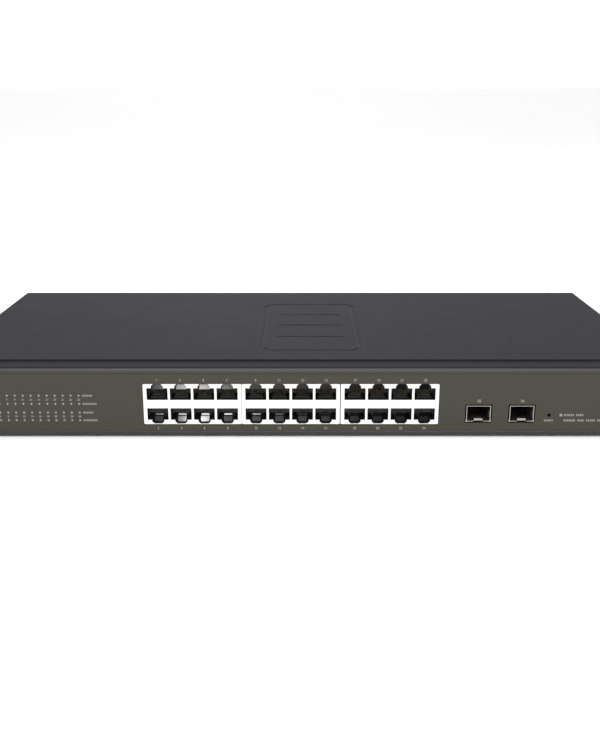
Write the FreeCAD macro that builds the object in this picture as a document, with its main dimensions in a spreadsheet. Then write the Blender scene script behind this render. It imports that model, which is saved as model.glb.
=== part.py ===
"""Rackmount network switch, one rack unit high, as a parametric assembly.

+X runs along the front panel to the viewer's right, +Y from the front panel to the rear and +Z up.
The origin is on the surface that the feet stand on, under the middle of the case.
Every size is in millimetres and comes from the sheet Dims, or is worked out from it.
"""

import FreeCAD, Part  # noqa: E401  FreeCAD has to be imported first
import math
import os
import re

import Sketcher
from FreeCAD import Placement, Rotation, Vector

SIZES = [
    # case
    ("ChassisWide", 440, "case width without the rack ears"),
    ("OverallDeep", 211, "cage rims to the screw heads at the rear"),
    ("BodyHigh", 43.6, "case height without the feet"),
    ("FootProud", 0.8, "how far the feet stand out below the case"),
    ("Sheet", 1, "steel sheet"),
    ("SlipGap", 0.2, "clearance between folded sheets"),
    ("RearProud", 3, "how far the inlet and its screws stand out at the rear"),
    ("BendRadius", 1.2, "outer bend radius of the sheet"),
    ("StripDeep", 12.6, "bare strip of the base's front lip, ahead of the cover"),
    ("LipDeep", 21, "whole front lip"),
    ("RearLipDeep", 9, "rear lip"),
    ("FlangeHigh", 12.2, "side flanges of the base"),
    ("EarTabDeep", 30, "full-height tabs that take the ear screws"),
    # front panel
    ("BezelDeep", 3.2, "moulded bezel"),
    ("BezelGap", 0.5, "bezel to the steel front wall"),
    ("BezelRound", 2, "rounding of the bezel's front edges"),
    ("BezelDrop", 0.7, "bezel's top below the lip"),
    ("RidgeTop", 4, "upper edge of the ridge under the film, above the desk"),
    ("FilmThick", 0.25, "printed front film"),
    ("FilmSetback", 0.05, "film behind the cages' rims"),
    ("FilmLow", 4.7, "film's lower edge above the desk"),
    ("FilmTop", 40.1, "film's upper edge above the desk"),
    ("FilmWide", 433, "film width"),
    ("WindowGap", 0.25, "clearance of a panel window round its part"),
    # copper ports
    ("PortPitch", 13.97, "socket to socket"),
    ("PortWide", 12.5, "socket width"),
    ("PortPlate", 0.6, "white plate on each jack block"),
    ("PortDeep", 13, "socket depth behind the plate"),
    ("BlockPitch", 59.08, "jack block to jack block"),
    ("BlockGap", 0.2, "gap between the left and middle jack blocks"),
    ("SeamExtra", 0.3, "how much wider the gap is to the right block"),
    ("BlockHigh", 25.4, "jack block height"),
    ("BlockDeep", 29.4, "jack block depth"),
    ("BlockMidX", -5.5, "middle of the middle block"),
    ("BlockMidZ", 21, "middle of the blocks above the desk"),
    ("WebHalf", 2.65, "half the web between the two rows of sockets"),
    ("ShoulderRise", 10, "socket shoulder from the block's middle"),
    ("StepRise", 11.2, "latch step from the block's middle"),
    ("NotchRise", 12.4, "latch notch from the block's middle"),
    ("StepWide", 7.2, "latch step width"),
    ("NotchWide", 4.4, "latch notch width at its end"),
    ("CombRise", 1.25, "comb that covers the ends of the contacts, above the web"),
    ("WirePitch", 1.02, "contact to contact"),
    ("WireWide", 0.42, "contact width"),
    ("WireThick", 0.3, "contact thickness"),
    # fibre cages
    ("CageWide", 14.4, "cage width"),
    ("CageHigh", 9.8, "cage height"),
    ("CageDeep", 48.6, "cage depth"),
    ("CageWall", 0.3, "cage sheet"),
    ("CageGap", 0.8, "clearance of a panel window round a cage"),
    ("CageMidX", 120.4, "middle of the two cages"),
    ("CagePitch", 26, "cage to cage"),
    ("RimProud", 0.15, "rim round the cage mouth"),
    ("RimDeep", 1.1, "depth of that rim"),
    ("TongueWide", 5.2, "latch tongue in the cage floor"),
    # lamps
    ("LampPitch", 4.776, "lamp column to lamp column"),
    ("LampColumns", 13, "lamp columns for the ports"),
    ("LampFirst", -189.8, "leftmost port lamp column"),
    ("PowerLampX", -199.9, "column of the power and system lamps"),
    ("LampRadius", 0.65, "lamp lens radius"),
    ("HolderWide", 4.4, "lamp holder width"),
    ("LampRowA", 26.5, "top lamp row above the desk"),
    ("LampRowB", 21.3, "second lamp row"),
    ("LampRowC", 15.8, "third lamp row"),
    ("LampRowD", 10.9, "bottom lamp row"),
    # reset button
    ("ResetX", 149.9, "reset hole"),
    ("ResetZ", 14.15, "reset hole above the desk"),
    ("ResetTravel", 0.3, "travel of the reset button"),
    ("ResetRadius", 1.7, "reset plunger radius"),
    # boards
    ("BoardFront", -90, "front edge of the main board"),
    ("BoardTop", 10.2, "upper face of both boards above the desk"),
    ("BoardThick", 1.6, "both boards"),
    ("BoardRear", 18, "rear edge of the main board"),
    ("BoardLeft", -206, "left edge of both boards"),
    ("BoardRight", 160, "right edge of the main board"),
    ("SupplyFront", 28, "front edge of the supply board"),
    ("SupplyRear", 80, "rear edge of the supply board"),
    ("SupplyRight", -90, "right edge of the supply board"),
    # mains inlet
    ("InletX", -178, "middle of the inlet"),
    ("InletZ", 22.6, "middle of the inlet above the desk"),
    ("InletWide", 27.2, "inlet body width"),
    ("InletHigh", 19.8, "inlet body height"),
    ("InletDeep", 19, "inlet body behind its flange"),
    ("MouthWide", 24.4, "recess for the plug"),
    ("MouthHigh", 16.4, "recess for the plug"),
    ("MouthDeep", 16.5, "recess for the plug"),
    ("InletFlange", 1.6, "flange thickness"),
    ("InletFlangeWide", 49, "flange width"),
    ("InletFlangeHigh", 22.6, "flange height"),
    ("InletScrewPitch", 40, "flange screws"),
    # fan
    ("FanX", 172, "fan axis"),
    ("FanZ", 22, "fan axis above the desk"),
    ("FanSide", 40, "fan frame side"),
    ("FanDeep", 20, "fan frame depth"),
    ("FanBore", 19, "air way radius"),
    ("RotorRadius", 18.2, "blade tip radius"),
    ("HubRadius", 11, "rotor hub radius"),
    ("FanScrewPitch", 32, "fan screws"),
    ("ShaftRadius", 1.5, "fan shaft"),
    # rack ears
    ("RackWide", 482.6, "over both ears"),
    ("EarHigh", 43.2, "ear height"),
    ("EarLow", 1, "lower end of the ears above the desk"),
    ("EarThick", 2, "ear sheet"),
    ("EarDeep", 44, "ear along the case side"),
    ("EarSetback", 2, "front of the ears behind the film"),
    ("SlotPitchX", 465.1, "rack slots, left to right"),
    ("SlotPitchZ", 31.75, "rack slots, bottom to top"),
    ("SlotRadius", 3.4, "half the slot's width"),
    ("SlotLong", 10.3, "slot, end to end"),
    ("EarScrewPitchY", 16, "ear screws along the case"),
    ("EarScrewPitchZ", 28, "ear screws, bottom to top"),
    ("EarScrewY", -74.5, "middle of the ear screws"),
    # feet
    ("FootRadius", 7, "rubber foot"),
    ("FootX", 185, "feet, from the middle"),
    ("FootY", 66, "feet, from the middle"),
    ("RecessDeep", 1.5, "drawn recess that holds a foot"),
    ("RecessRadius", 8, "drawn recess"),
    # details of the cover and the rear wall
    ("VentWide", 2.8, "side vent"),
    ("VentHigh", 9, "side vent"),
    ("VentPitch", 5.6, "vent to vent"),
    ("VentFirst", -40, "front of the first vent"),
    ("BeadWide", 3.4, "groove in the cover"),
    ("BeadDeep", 0.5, "groove in the cover, under the sheet's thickness"),
    ("PanelX", 7, "middle of the cover's ring groove"),
    ("PanelY", -4, "middle of the cover's ring groove"),
    ("PanelWide", 68, "ring groove, left to right"),
    ("PanelLong", 132, "ring groove, front to rear"),
    ("PanelCut", 7, "cut corner of the ring"),
    ("BarLong", 42, "groove inside the ring, between its end centres"),
    ("BarPitch", 31, "groove to groove inside the ring"),
    ("GrillePitch", 5, "slot to slot in the fan grille"),
    ("GrilleSlot", 3.2, "slot in the fan grille"),
    ("GroundX", -136, "ground screw"),
    ("GroundZ", 13, "ground screw above the desk"),
    ("CoverScrewZ", 7.6, "cover screws above the desk"),
]
ALIASES = {name for name, _, _ in SIZES}

# Planes and levels that several pieces share, as formulas on the sheet.
FRONT = "(-OverallDeep/2)"
FILM_FRONT = "(-OverallDeep/2 + FilmSetback)"
BEZEL_FRONT = f"({FILM_FRONT} + FilmThick)"
BEZEL_REAR = f"({BEZEL_FRONT} + BezelDeep)"
WALL_FRONT = f"({BEZEL_REAR} + BezelGap)"
WALL_REAR = f"({WALL_FRONT} + Sheet)"
COVER_FRONT = f"({WALL_FRONT} + StripDeep + SlipGap)"
REAR = "(OverallDeep/2 - RearProud)"
SIDE = "(ChassisWide/2)"
INNER_SIDE = "(ChassisWide/2 - Sheet - SlipGap)"
BASE = "FootProud"
FLOOR = "(FootProud + Sheet)"
COVER_TOP = "(FootProud + BodyHigh)"
LIP_TOP = "(FootProud + BodyHigh - Sheet - SlipGap)"
BEZEL_TOP = f"({LIP_TOP} - BezelDrop)"
BLOCK_WIDE = "(BlockPitch - BlockGap)"
PLATE_FACE = "(-OverallDeep/2 + 0.4)"
JACK_FACE = f"({PLATE_FACE} + PortPlate)"
CHIN_REAR = "(BoardFront - 0.4)"
PORTS_LEFT = f"(BlockMidX - BlockPitch - {BLOCK_WIDE}/2 - WindowGap)"
PORTS_RIGHT = f"(BlockMidX + BlockPitch + SeamExtra + {BLOCK_WIDE}/2 + WindowGap)"
PORTS_LOW = "(BlockMidZ - BlockHigh/2 - WindowGap)"
PORTS_TOP = "(BlockMidZ + BlockHigh/2 + WindowGap)"
CAGE_MID_Z = "(BoardTop + CageHigh/2)"
LAMP_LAST = "(LampFirst + (LampColumns - 1)*LampPitch)"
EAR_MID_Z = "(EarLow + EarHigh/2)"
LAMP_ROWS = ("LampRowA", "LampRowB", "LampRowC", "LampRowD")
COVER_SCREW_YS = ("-20", "36", "92")
BEZEL_SCREWS = [("-206", "36"), ("-112", "38"), ("112", "38"), ("206", "36")]
MAIN_STANDOFFS = [(x, y) for x in ("-198", "-112", "96", "152") for y in ("-48", "10")]
SUPPLY_STANDOFFS = [(x, y) for x in ("-201", "-96") for y in ("33", "75")]
PINS = [
    ("(InletX - 7)", "(InletZ - 2)"),
    ("(InletX + 7)", "(InletZ - 2)"),
    ("InletX", "(InletZ + 2.4)"),
]

SIDES = {"left": -1, "right": 1}
TURN_TO = {"X": Rotation(Vector(0, 1, 0), 90), "Y": Rotation(Vector(1, 0, 0), -90), "Z": Rotation()}

doc = FreeCAD.newDocument("RackSwitch")
sheet = doc.addObject("Spreadsheet::Sheet", "Dims")
for line, (alias, size, note) in enumerate(SIZES, start=1):
    sheet.set(f"A{line}", alias)
    sheet.set(f"B{line}", str(size))
    sheet.set(f"C{line}", note)
    sheet.setAlias(f"B{line}", alias)
doc.recompute()


# ---------------------------------------------------------------- helpers


def formula(text):
    """Puts the sheet's name in front of each of its aliases."""
    return re.sub(r"[A-Za-z]\w*", lambda m: "Dims." + m[0] if m[0] in ALIASES else m[0], str(text))


def value(text):
    """What a formula comes to now."""
    return float(sheet.evalExpression(formula(text)))


def bind(thing, prop, text):
    thing.setExpression(prop, formula(text))


def body(name):
    made = doc.addObject("PartDesign::Body", name)
    made.Label = name
    made.AllowCompound = True
    return made


def origin(made, role):
    return next(f for f in made.Origin.OriginFeatures if f.Role == role)


def sketch(made, plane, at="0"):
    """An empty sketch on a body's XY, XZ or YZ plane, moved along the third axis to `at`."""
    drawn = made.newObject("Sketcher::SketchObject", made.Name + "_sketch")
    drawn.AttachmentSupport = [(origin(made, plane + "_Plane"), "")]
    drawn.MapMode = "FlatFace"
    bind(drawn, "AttachmentOffset.Base.z", f"-({at})" if plane == "XZ" else at)
    return drawn


def fix_point(drawn, geometry, point, x, y):
    """Ties a point of a sketch to the origin by two formulas."""
    for kind, axis, text in (("DistanceX", "x", x), ("DistanceY", "y", y)):
        at = drawn.addConstraint(Sketcher.Constraint(kind, -1, 1, geometry, point, value(text)))
        name = f"{axis}{geometry}_{point}"
        drawn.renameConstraint(at, name)
        bind(drawn, "Constraints." + name, text)


def outline(drawn, corners):
    """Draws a closed outline through corners, each a pair of formulas."""
    first = drawn.GeometryCount
    count = len(corners)
    points = [Vector(value(x), value(y), 0) for x, y in corners]
    for i in range(count):
        drawn.addGeometry(Part.LineSegment(points[i], points[(i + 1) % count]), False)
    for i in range(count):
        joined = first + (i + 1) % count
        drawn.addConstraint(Sketcher.Constraint("Coincident", first + i, 2, joined, 1))
    for i, (x, y) in enumerate(corners):
        fix_point(drawn, first + i, 1, x, y)


def rectangle(drawn, x0, y0, x1, y1):
    outline(drawn, [(x0, y0), (x1, y0), (x1, y1), (x0, y1)])


def circle(drawn, x, y, radius):
    middle = Vector(value(x), value(y), 0)
    made = drawn.addGeometry(Part.Circle(middle, Vector(0, 0, 1), value(radius)), False)
    fix_point(drawn, made, 3, x, y)
    at = drawn.addConstraint(Sketcher.Constraint("Radius", made, value(radius)))
    drawn.renameConstraint(at, f"r{made}")
    bind(drawn, f"Constraints.r{made}", radius)


def pad(made, drawn, length):
    """Adds material from the sketch towards the plus end of its third axis."""
    added = made.newObject("PartDesign::Pad", made.Name + "_pad")
    added.Profile = drawn
    bind(added, "Length", length)
    added.Reversed = drawn.AttachmentSupport[0][0].Role == "XZ_Plane"
    made.Tip = added
    return added


def pocket(made, drawn, length):
    """Cuts from the sketch towards the plus end of its third axis."""
    cut_out = made.newObject("PartDesign::Pocket", made.Name + "_pocket")
    cut_out.Profile = drawn
    bind(cut_out, "Length", length)
    cut_out.Reversed = drawn.AttachmentSupport[0][0].Role != "XZ_Plane"
    made.Tip = cut_out
    return cut_out


def pattern(made, feature, steps):
    """Repeats a feature along one or two axes; steps holds (axis, step, count) for each."""
    rows = made.newObject("PartDesign::LinearPattern", made.Name + "_pattern")
    rows.Originals = [feature]
    for ending, (axis, step, count) in zip(("", "2"), steps):
        setattr(rows, "Direction" + ending, (origin(made, axis + "_Axis"), [""]))
        setattr(rows, "Mode" + ending, "Extent")
        bind(rows, "Length" + ending, f"({step})*({count} - 1)")
        bind(rows, "Occurrences" + ending, count)
    made.Tip = rows
    return rows


def round_edges(made, radius, chosen):
    """Fillets the body's edges for which chosen(edge) is true."""
    doc.recompute()
    base = made.Tip
    names = [f"Edge{i}" for i, edge in enumerate(base.Shape.Edges, start=1) if chosen(edge)]
    rounded = made.newObject("PartDesign::Fillet", made.Name + "_fillet")
    rounded.Base = (base, names)
    bind(rounded, "Radius", radius)
    made.Tip = rounded
    return rounded


def box(name, low, high):
    """A block between two corners, each three formulas."""
    made = doc.addObject("Part::Box", name)
    made.Label = name
    for side, axis, a, b in zip(("Length", "Width", "Height"), "xyz", low, high):
        bind(made, side, f"({b}) - ({a})")
        bind(made, "Placement.Base." + axis, a)
    return made


def cylinder(name, start, axis, radius, length):
    """A round bar from `start`, three formulas, along +X, +Y or +Z."""
    made = doc.addObject("Part::Cylinder", name)
    made.Label = name
    made.Placement = Placement(Vector(), TURN_TO[axis])
    bind(made, "Radius", radius)
    bind(made, "Height", length)
    for letter, text in zip("xyz", start):
        bind(made, "Placement.Base." + letter, text)
    return made


def group(name, pieces):
    """Several separate solids as one sub-part."""
    made = doc.addObject("Part::Compound", name)
    made.Label = name
    made.Links = pieces
    return made


def fuse(name, pieces):
    made = doc.addObject("Part::MultiFuse", name)
    made.Label = name
    made.Shapes = pieces
    return made


def cut(name, base, tool):
    made = doc.addObject("Part::Cut", name)
    made.Label = name
    made.Base = base
    made.Tool = tool
    return made


def feature(name, shape):
    """A sub-part whose shape is worked out here from the sheet's values."""
    made = doc.addObject("Part::Feature", name)
    made.Label = name
    made.Shape = shape
    return made


def port_windows(drawn, gap="0"):
    """The openings for the jack blocks and the two cages, in a panel sketch."""
    rectangle(
        drawn,
        f"{PORTS_LEFT} - {gap}",
        f"{PORTS_LOW} - {gap}",
        f"{PORTS_RIGHT} + {gap}",
        f"{PORTS_TOP} + {gap}",
    )
    for side in SIDES.values():
        middle = f"(CageMidX + {side}*CagePitch/2)"
        half = f"(CageWide/2 + RimProud + CageGap + {gap})"
        tall = f"(CageHigh/2 + RimProud/2 + CageGap + {gap})"
        rectangle(
            drawn,
            f"{middle} - {half}",
            f"{CAGE_MID_Z} - {tall} - RimProud/2",
            f"{middle} + {half}",
            f"{CAGE_MID_Z} + {tall}",
        )


def lamp_window(drawn):
    """The opening behind the film for all the lamps."""
    rectangle(
        drawn,
        "PowerLampX - HolderWide/2",
        "LampRowD - LampRadius - 1",
        f"{LAMP_LAST} + HolderWide/2",
        "LampRowA + LampRadius + 1",
    )


# ---------------------------------------------------------------- case


def base_pan():
    """Folded steel tray: floor, front and rear walls with lips, and side flanges."""
    made = body("base_pan")
    footprint = [
        (f"-{SIDE}", WALL_FRONT),
        (SIDE, WALL_FRONT),
        (SIDE, f"{COVER_FRONT} - SlipGap"),
        (INNER_SIDE, f"{COVER_FRONT} - SlipGap"),
        (INNER_SIDE, REAR),
        (f"-{INNER_SIDE}", REAR),
        (f"-{INNER_SIDE}", f"{COVER_FRONT} - SlipGap"),
        (f"-{SIDE}", f"{COVER_FRONT} - SlipGap"),
    ]
    floor = sketch(made, "XY", BASE)
    outline(floor, footprint)
    pad(made, floor, "Sheet")

    front_lip = sketch(made, "XY", f"{LIP_TOP} - Sheet")
    lip_end = f"({WALL_FRONT} + LipDeep)"
    outline(front_lip, [(x, lip_end if y == REAR else y) for x, y in footprint])
    pad(made, front_lip, "Sheet")

    front = sketch(made, "XZ", WALL_FRONT)
    rectangle(front, f"-{SIDE}", BASE, SIDE, LIP_TOP)
    pad(made, front, "Sheet")
    rear = sketch(made, "XZ", f"{REAR} - Sheet")
    rectangle(rear, f"-{INNER_SIDE}", BASE, INNER_SIDE, LIP_TOP)
    pad(made, rear, "Sheet")

    rear_lip = sketch(made, "XY", f"{LIP_TOP} - Sheet")
    rectangle(rear_lip, f"-{INNER_SIDE}", f"{REAR} - RearLipDeep", INNER_SIDE, REAR)
    pad(made, rear_lip, "Sheet")

    for start, thickness_from in ((f"-{SIDE}", "low"), (f"({SIDE} - Sheet)", "high")):
        returned = sketch(made, "YZ", start)
        rectangle(returned, WALL_FRONT, BASE, f"{COVER_FRONT} - SlipGap", LIP_TOP)
        pad(made, returned, "Sheet")
        inner = f"-{INNER_SIDE}" if thickness_from == "low" else f"({INNER_SIDE} - Sheet)"
        flange = sketch(made, "YZ", inner)
        tab_end = f"({COVER_FRONT} + EarTabDeep)"
        outline(
            flange,
            [
                (WALL_FRONT, BASE),
                (REAR, BASE),
                (REAR, f"{BASE} + FlangeHigh"),
                (tab_end, f"{BASE} + FlangeHigh"),
                (tab_end, f"{LIP_TOP} - Sheet/2"),
                (WALL_FRONT, f"{LIP_TOP} - Sheet/2"),
            ],
        )
        pad(made, flange, "Sheet")

    recesses = sketch(made, "XY", BASE)
    dimples = sketch(made, "XY", BASE)
    for x in ("-FootX", "FootX"):
        for y in ("-FootY", "FootY"):
            circle(recesses, x, y, "RecessRadius + Sheet")
            circle(dimples, x, y, "RecessRadius")
    pad(made, recesses, "RecessDeep + Sheet")
    pocket(made, dimples, "RecessDeep")

    front_holes = sketch(made, "XZ", WALL_FRONT)
    port_windows(front_holes, "0.2")
    lamp_window(front_holes)
    circle(front_holes, "ResetX", "ResetZ", "1.5")
    for x, z in BEZEL_SCREWS:
        circle(front_holes, x, z, "1.6")
    pocket(made, front_holes, "Sheet")

    rear_holes = sketch(made, "XZ", f"{REAR} - Sheet")
    rectangle(
        rear_holes,
        "InletX - InletWide/2 - WindowGap",
        "InletZ - InletHigh/2 - WindowGap",
        "InletX + InletWide/2 + WindowGap",
        "InletZ + InletHigh/2 + WindowGap",
    )
    for side in SIDES.values():
        circle(rear_holes, f"InletX + {side}*InletScrewPitch/2", "InletZ", "1.6")
        for up in SIDES.values():
            x = f"FanX + {side}*FanScrewPitch/2"
            circle(rear_holes, x, f"FanZ + {up}*FanScrewPitch/2", "1.6")
    circle(rear_holes, "GroundX", "GroundZ", "2.1")
    for row in range(-3, 4):
        low = f"(FanZ + ({row})*GrillePitch - GrilleSlot/2)"
        half = f"(sqrt((FanBore - 1)^2 - (({row})*GrillePitch)^2) - 1)"
        rectangle(rear_holes, f"FanX - {half}", low, f"FanX + {half}", f"{low} + GrilleSlot")
    pocket(made, rear_holes, "Sheet")

    screw_holes = sketch(made, "YZ", f"-{INNER_SIDE}")
    side_screw_holes(screw_holes, "1.6")
    pocket(made, screw_holes, f"2*{INNER_SIDE}")

    def long_bend(edge):
        bounds = edge.BoundBox
        ends = (value(WALL_FRONT), value(REAR))
        at_wall = min(abs(bounds.YMin - y) for y in ends) < 1e-3 and bounds.YLength < 1e-3
        return at_wall and bounds.XLength > value("ChassisWide") - 4

    round_edges(made, "BendRadius", long_bend)
    return made


def side_screw_holes(drawn, radius):
    """Holes in a side wall, seen along X, for the cover's and the ears' screws."""
    for y in COVER_SCREW_YS:
        circle(drawn, y, "CoverScrewZ", radius)
    for along in SIDES.values():
        for up in SIDES.values():
            y = f"EarScrewY + {along}*EarScrewPitchY/2"
            circle(drawn, y, f"{EAR_MID_Z} + {up}*EarScrewPitchZ/2", radius)


def top_cover():
    """Folded steel lid with both sides, vents and a panel of grooves coined half through its top."""
    made = body("top_cover")
    section = sketch(made, "XZ", COVER_FRONT)
    inside = f"({SIDE} - Sheet)"
    outline(
        section,
        [
            (f"-{SIDE}", BASE),
            (f"-{inside}", BASE),
            (f"-{inside}", f"{COVER_TOP} - Sheet"),
            (inside, f"{COVER_TOP} - Sheet"),
            (inside, BASE),
            (SIDE, BASE),
            (SIDE, COVER_TOP),
            (f"-{SIDE}", COVER_TOP),
        ],
    )
    pad(made, section, f"{REAR} - {COVER_FRONT}")

    def long_corner(edge):
        bounds = edge.BoundBox
        top = abs(bounds.ZMin - value(COVER_TOP)) < 1e-3 and bounds.ZLength < 1e-3
        return top and bounds.XLength < 1e-3

    round_edges(made, "BendRadius", long_corner)

    screw_holes = sketch(made, "YZ", f"-{SIDE}")
    side_screw_holes(screw_holes, "1.7")
    pocket(made, screw_holes, f"2*{SIDE}")

    vent = sketch(made, "YZ", f"-{SIDE}")
    rectangle(vent, "VentFirst", "16", "VentFirst + VentWide", "16 + VentHigh")
    vents = pocket(made, vent, f"2*{SIDE}")
    pattern(made, vents, [("Y", "VentPitch", "22"), ("Z", "VentHigh + 3", "2")])

    grooves = sketch(made, "XY", f"{COVER_TOP} - BeadDeep")
    ring(grooves)
    bars(grooves)
    pocket(made, grooves, "BeadDeep")
    return made


def ring(drawn):
    """The ring groove with its cut corners."""
    for out in ("0", "(-BeadWide)"):
        x = f"(PanelWide/2 + {out})"
        y = f"(PanelLong/2 + {out})"
        cut_x = f"({x} - PanelCut - 0.586*{out})"
        cut_y = f"({y} - PanelCut - 0.586*{out})"
        corners = [(f"-{cut_x}", f"-{y}"), (cut_x, f"-{y}"), (x, f"-{cut_y}"), (x, cut_y)]
        corners += [(cut_x, y), (f"-{cut_x}", y), (f"-{x}", cut_y), (f"-{x}", f"-{cut_y}")]
        outline(drawn, [(f"PanelX + ({a})", f"PanelY + ({b})") for a, b in corners])


def bars(drawn):
    """Three grooves with round ends, inside the ring."""
    half = "(BeadWide/2)"
    left = "(PanelX - BarLong/2)"
    right = "(PanelX + BarLong/2)"
    for place in (-1, 0, 1):
        y = f"(PanelY + ({place})*BarPitch)"
        corners = [(left, f"{y} - {half}"), (right, f"{y} - {half}")]
        corners += [(right, f"{y} + {half}"), (left, f"{y} + {half}")]
        first = drawn.GeometryCount
        points = [Vector(value(a), value(b), 0) for a, b in corners]
        west = Part.Circle(Vector(value(left), value(y), 0), Vector(0, 0, 1), value(half))
        east = Part.Circle(Vector(value(right), value(y), 0), Vector(0, 0, 1), value(half))
        drawn.addGeometry(Part.ArcOfCircle(west, math.pi / 2, 1.5 * math.pi), False)
        drawn.addGeometry(Part.LineSegment(points[0], points[1]), False)
        drawn.addGeometry(Part.ArcOfCircle(east, -math.pi / 2, math.pi / 2), False)
        drawn.addGeometry(Part.LineSegment(points[2], points[3]), False)
        for i in range(4):
            joined = first + (i + 1) % 4
            drawn.addConstraint(Sketcher.Constraint("Coincident", first + i, 2, joined, 1))
        for line, start, end in ((first + 1, 0, 1), (first + 3, 2, 3)):
            fix_point(drawn, line, 1, *corners[start])
            fix_point(drawn, line, 2, *corners[end])
        for arc, place_x in ((first, left), (first + 2, right)):
            at = drawn.addConstraint(Sketcher.Constraint("DistanceX", -1, 1, arc, 3, value(place_x)))
            drawn.renameConstraint(at, f"middle{arc}")
            bind(drawn, f"Constraints.middle{arc}", place_x)


def front_bezel():
    """Moulded frame in front of the steel front wall."""
    made = body("front_bezel")
    plate = sketch(made, "XZ", BEZEL_FRONT)
    half = f"({SIDE} - SlipGap)"
    rectangle(plate, f"-{half}", BASE, half, BEZEL_TOP)
    pad(made, plate, "BezelDeep")

    def front_edge(edge):
        bounds = edge.BoundBox
        return abs(bounds.YMin - value(BEZEL_FRONT)) < 1e-3 and bounds.YLength < 1e-3

    round_edges(made, "BezelRound", front_edge)
    ridge = sketch(made, "YZ", f"-({half} - 3)")
    outline(
        ridge,
        [
            (f"{BEZEL_FRONT} + 0.5", "RidgeTop"),
            (BEZEL_FRONT, "RidgeTop"),
            (FRONT, "RidgeTop - 0.4"),
            (FRONT, "RidgeTop - 0.9"),
            (BEZEL_FRONT, "RidgeTop - 1.2"),
            (f"{BEZEL_FRONT} + 0.5", "RidgeTop - 1.2"),
        ],
    )
    pad(made, ridge, f"2*({half} - 3)")
    holes = sketch(made, "XZ", BEZEL_FRONT)
    port_windows(holes)
    circle(holes, "ResetX", "ResetZ", "1.2")
    for row in LAMP_ROWS[:2]:
        circle(holes, "PowerLampX", row, "LampRadius + 0.2")
    pocket(made, holes, "BezelDeep")
    column = sketch(made, "XZ", BEZEL_FRONT)
    for row in LAMP_ROWS:
        circle(column, "LampFirst", row, "LampRadius + 0.2")
    pattern(made, pocket(made, column, "BezelDeep"), [("X", "LampPitch", "LampColumns")])
    bosses = sketch(made, "XZ", BEZEL_REAR)
    pilots = sketch(made, "XZ", f"{BEZEL_REAR} - 1.6")
    for x, z in BEZEL_SCREWS:
        circle(bosses, x, z, "3")
        circle(pilots, x, z, "1.35")
    pad(made, bosses, "BezelGap")
    pocket(made, pilots, "BezelGap + 1.6")
    return made


def front_film():
    """Printed film on the bezel, with a hole for each lamp."""
    made = body("front_film")
    plate = sketch(made, "XZ", FILM_FRONT)
    rectangle(plate, "-FilmWide/2", "FilmLow", "FilmWide/2", "FilmTop")
    pad(made, plate, "FilmThick")
    holes = sketch(made, "XZ", FILM_FRONT)
    port_windows(holes)
    circle(holes, "ResetX", "ResetZ", "1.05")
    for row in LAMP_ROWS[:2]:
        circle(holes, "PowerLampX", row, "LampRadius + 0.15")
    pocket(made, holes, "FilmThick")
    column = sketch(made, "XZ", FILM_FRONT)
    for row in LAMP_ROWS:
        circle(column, "LampFirst", row, "LampRadius + 0.15")
    pattern(made, pocket(made, column, "FilmThick"), [("X", "LampPitch", "LampColumns")])
    return made


def rack_ear(name, side):
    """Folded steel bracket with two rack slots."""
    made = body(name)
    face_y = f"({FRONT} + EarSetback)"
    inner = f"({side}*{SIDE})"
    outer = f"({side}*RackWide/2)"
    folded = sketch(made, "XY", "EarLow")
    outline(
        folded,
        [
            (inner, face_y),
            (outer, face_y),
            (outer, f"{face_y} + EarThick"),
            (f"{inner} + {side}*EarThick", f"{face_y} + EarThick"),
            (f"{inner} + {side}*EarThick", f"{face_y} + EarDeep"),
            (inner, f"{face_y} + EarDeep"),
        ],
    )
    pad(made, folded, "EarHigh")

    def outer_corner(edge):
        bounds = edge.BoundBox
        lies_out = abs(abs(bounds.XMin) - value("RackWide/2")) < 1e-3 and bounds.XLength < 1e-3
        return lies_out and bounds.ZLength < 1e-3

    def bend(edge):
        bounds = edge.BoundBox
        at_side = abs(abs(bounds.XMin) - value(SIDE)) < 1e-3 and bounds.XLength < 1e-3
        return at_side and abs(bounds.YMax - value(face_y)) < 1e-3

    round_edges(made, "1.8", outer_corner)
    round_edges(made, "1.6", bend)

    slots = sketch(made, "XZ", face_y)
    flat = "(SlotLong/2 - SlotRadius)"
    for up in SIDES.values():
        z = f"({EAR_MID_Z} + {up}*SlotPitchZ/2)"
        x = f"({side}*SlotPitchX/2)"
        rectangle(slots, f"{x} - {flat}", f"{z} - SlotRadius", f"{x} + {flat}", f"{z} + SlotRadius")
    pocket(made, slots, "EarThick")
    for end in SIDES.values():
        ends = sketch(made, "XZ", face_y)
        for up in SIDES.values():
            z = f"({EAR_MID_Z} + {up}*SlotPitchZ/2)"
            circle(ends, f"{side}*SlotPitchX/2 + {end}*{flat}", z, "SlotRadius")
        pocket(made, ends, "EarThick")

    start = inner if side > 0 else f"({inner} - EarThick)"
    screws = sketch(made, "YZ", start)
    for along in SIDES.values():
        for up in SIDES.values():
            y = f"EarScrewY + {along}*EarScrewPitchY/2"
            circle(screws, y, f"{EAR_MID_Z} + {up}*EarScrewPitchZ/2", "1.7")
    pocket(made, screws, "EarThick")
    return made


def feet():
    """Four round rubber feet, each turned about its own middle."""
    made = body("feet")
    profile = sketch(made, "XZ")
    rise = "(FootProud + RecessDeep)"
    outline(
        profile,
        [
            ("0", "0"),
            ("FootRadius - 1.4", "0"),
            ("FootRadius - 0.4", "0.4"),
            ("FootRadius", rise),
            ("0", rise),
        ],
    )
    turned = made.newObject("PartDesign::Revolution", "feet_turned")
    turned.Profile = profile
    turned.ReferenceAxis = (profile, ["V_Axis"])
    turned.Angle = 360
    made.Tip = turned
    pattern(made, turned, [("X", "2*FootX", "2"), ("Y", "2*FootY", "2")])
    bind(made, "Placement.Base.x", "-FootX")
    bind(made, "Placement.Base.y", "-FootY")
    return made


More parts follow.
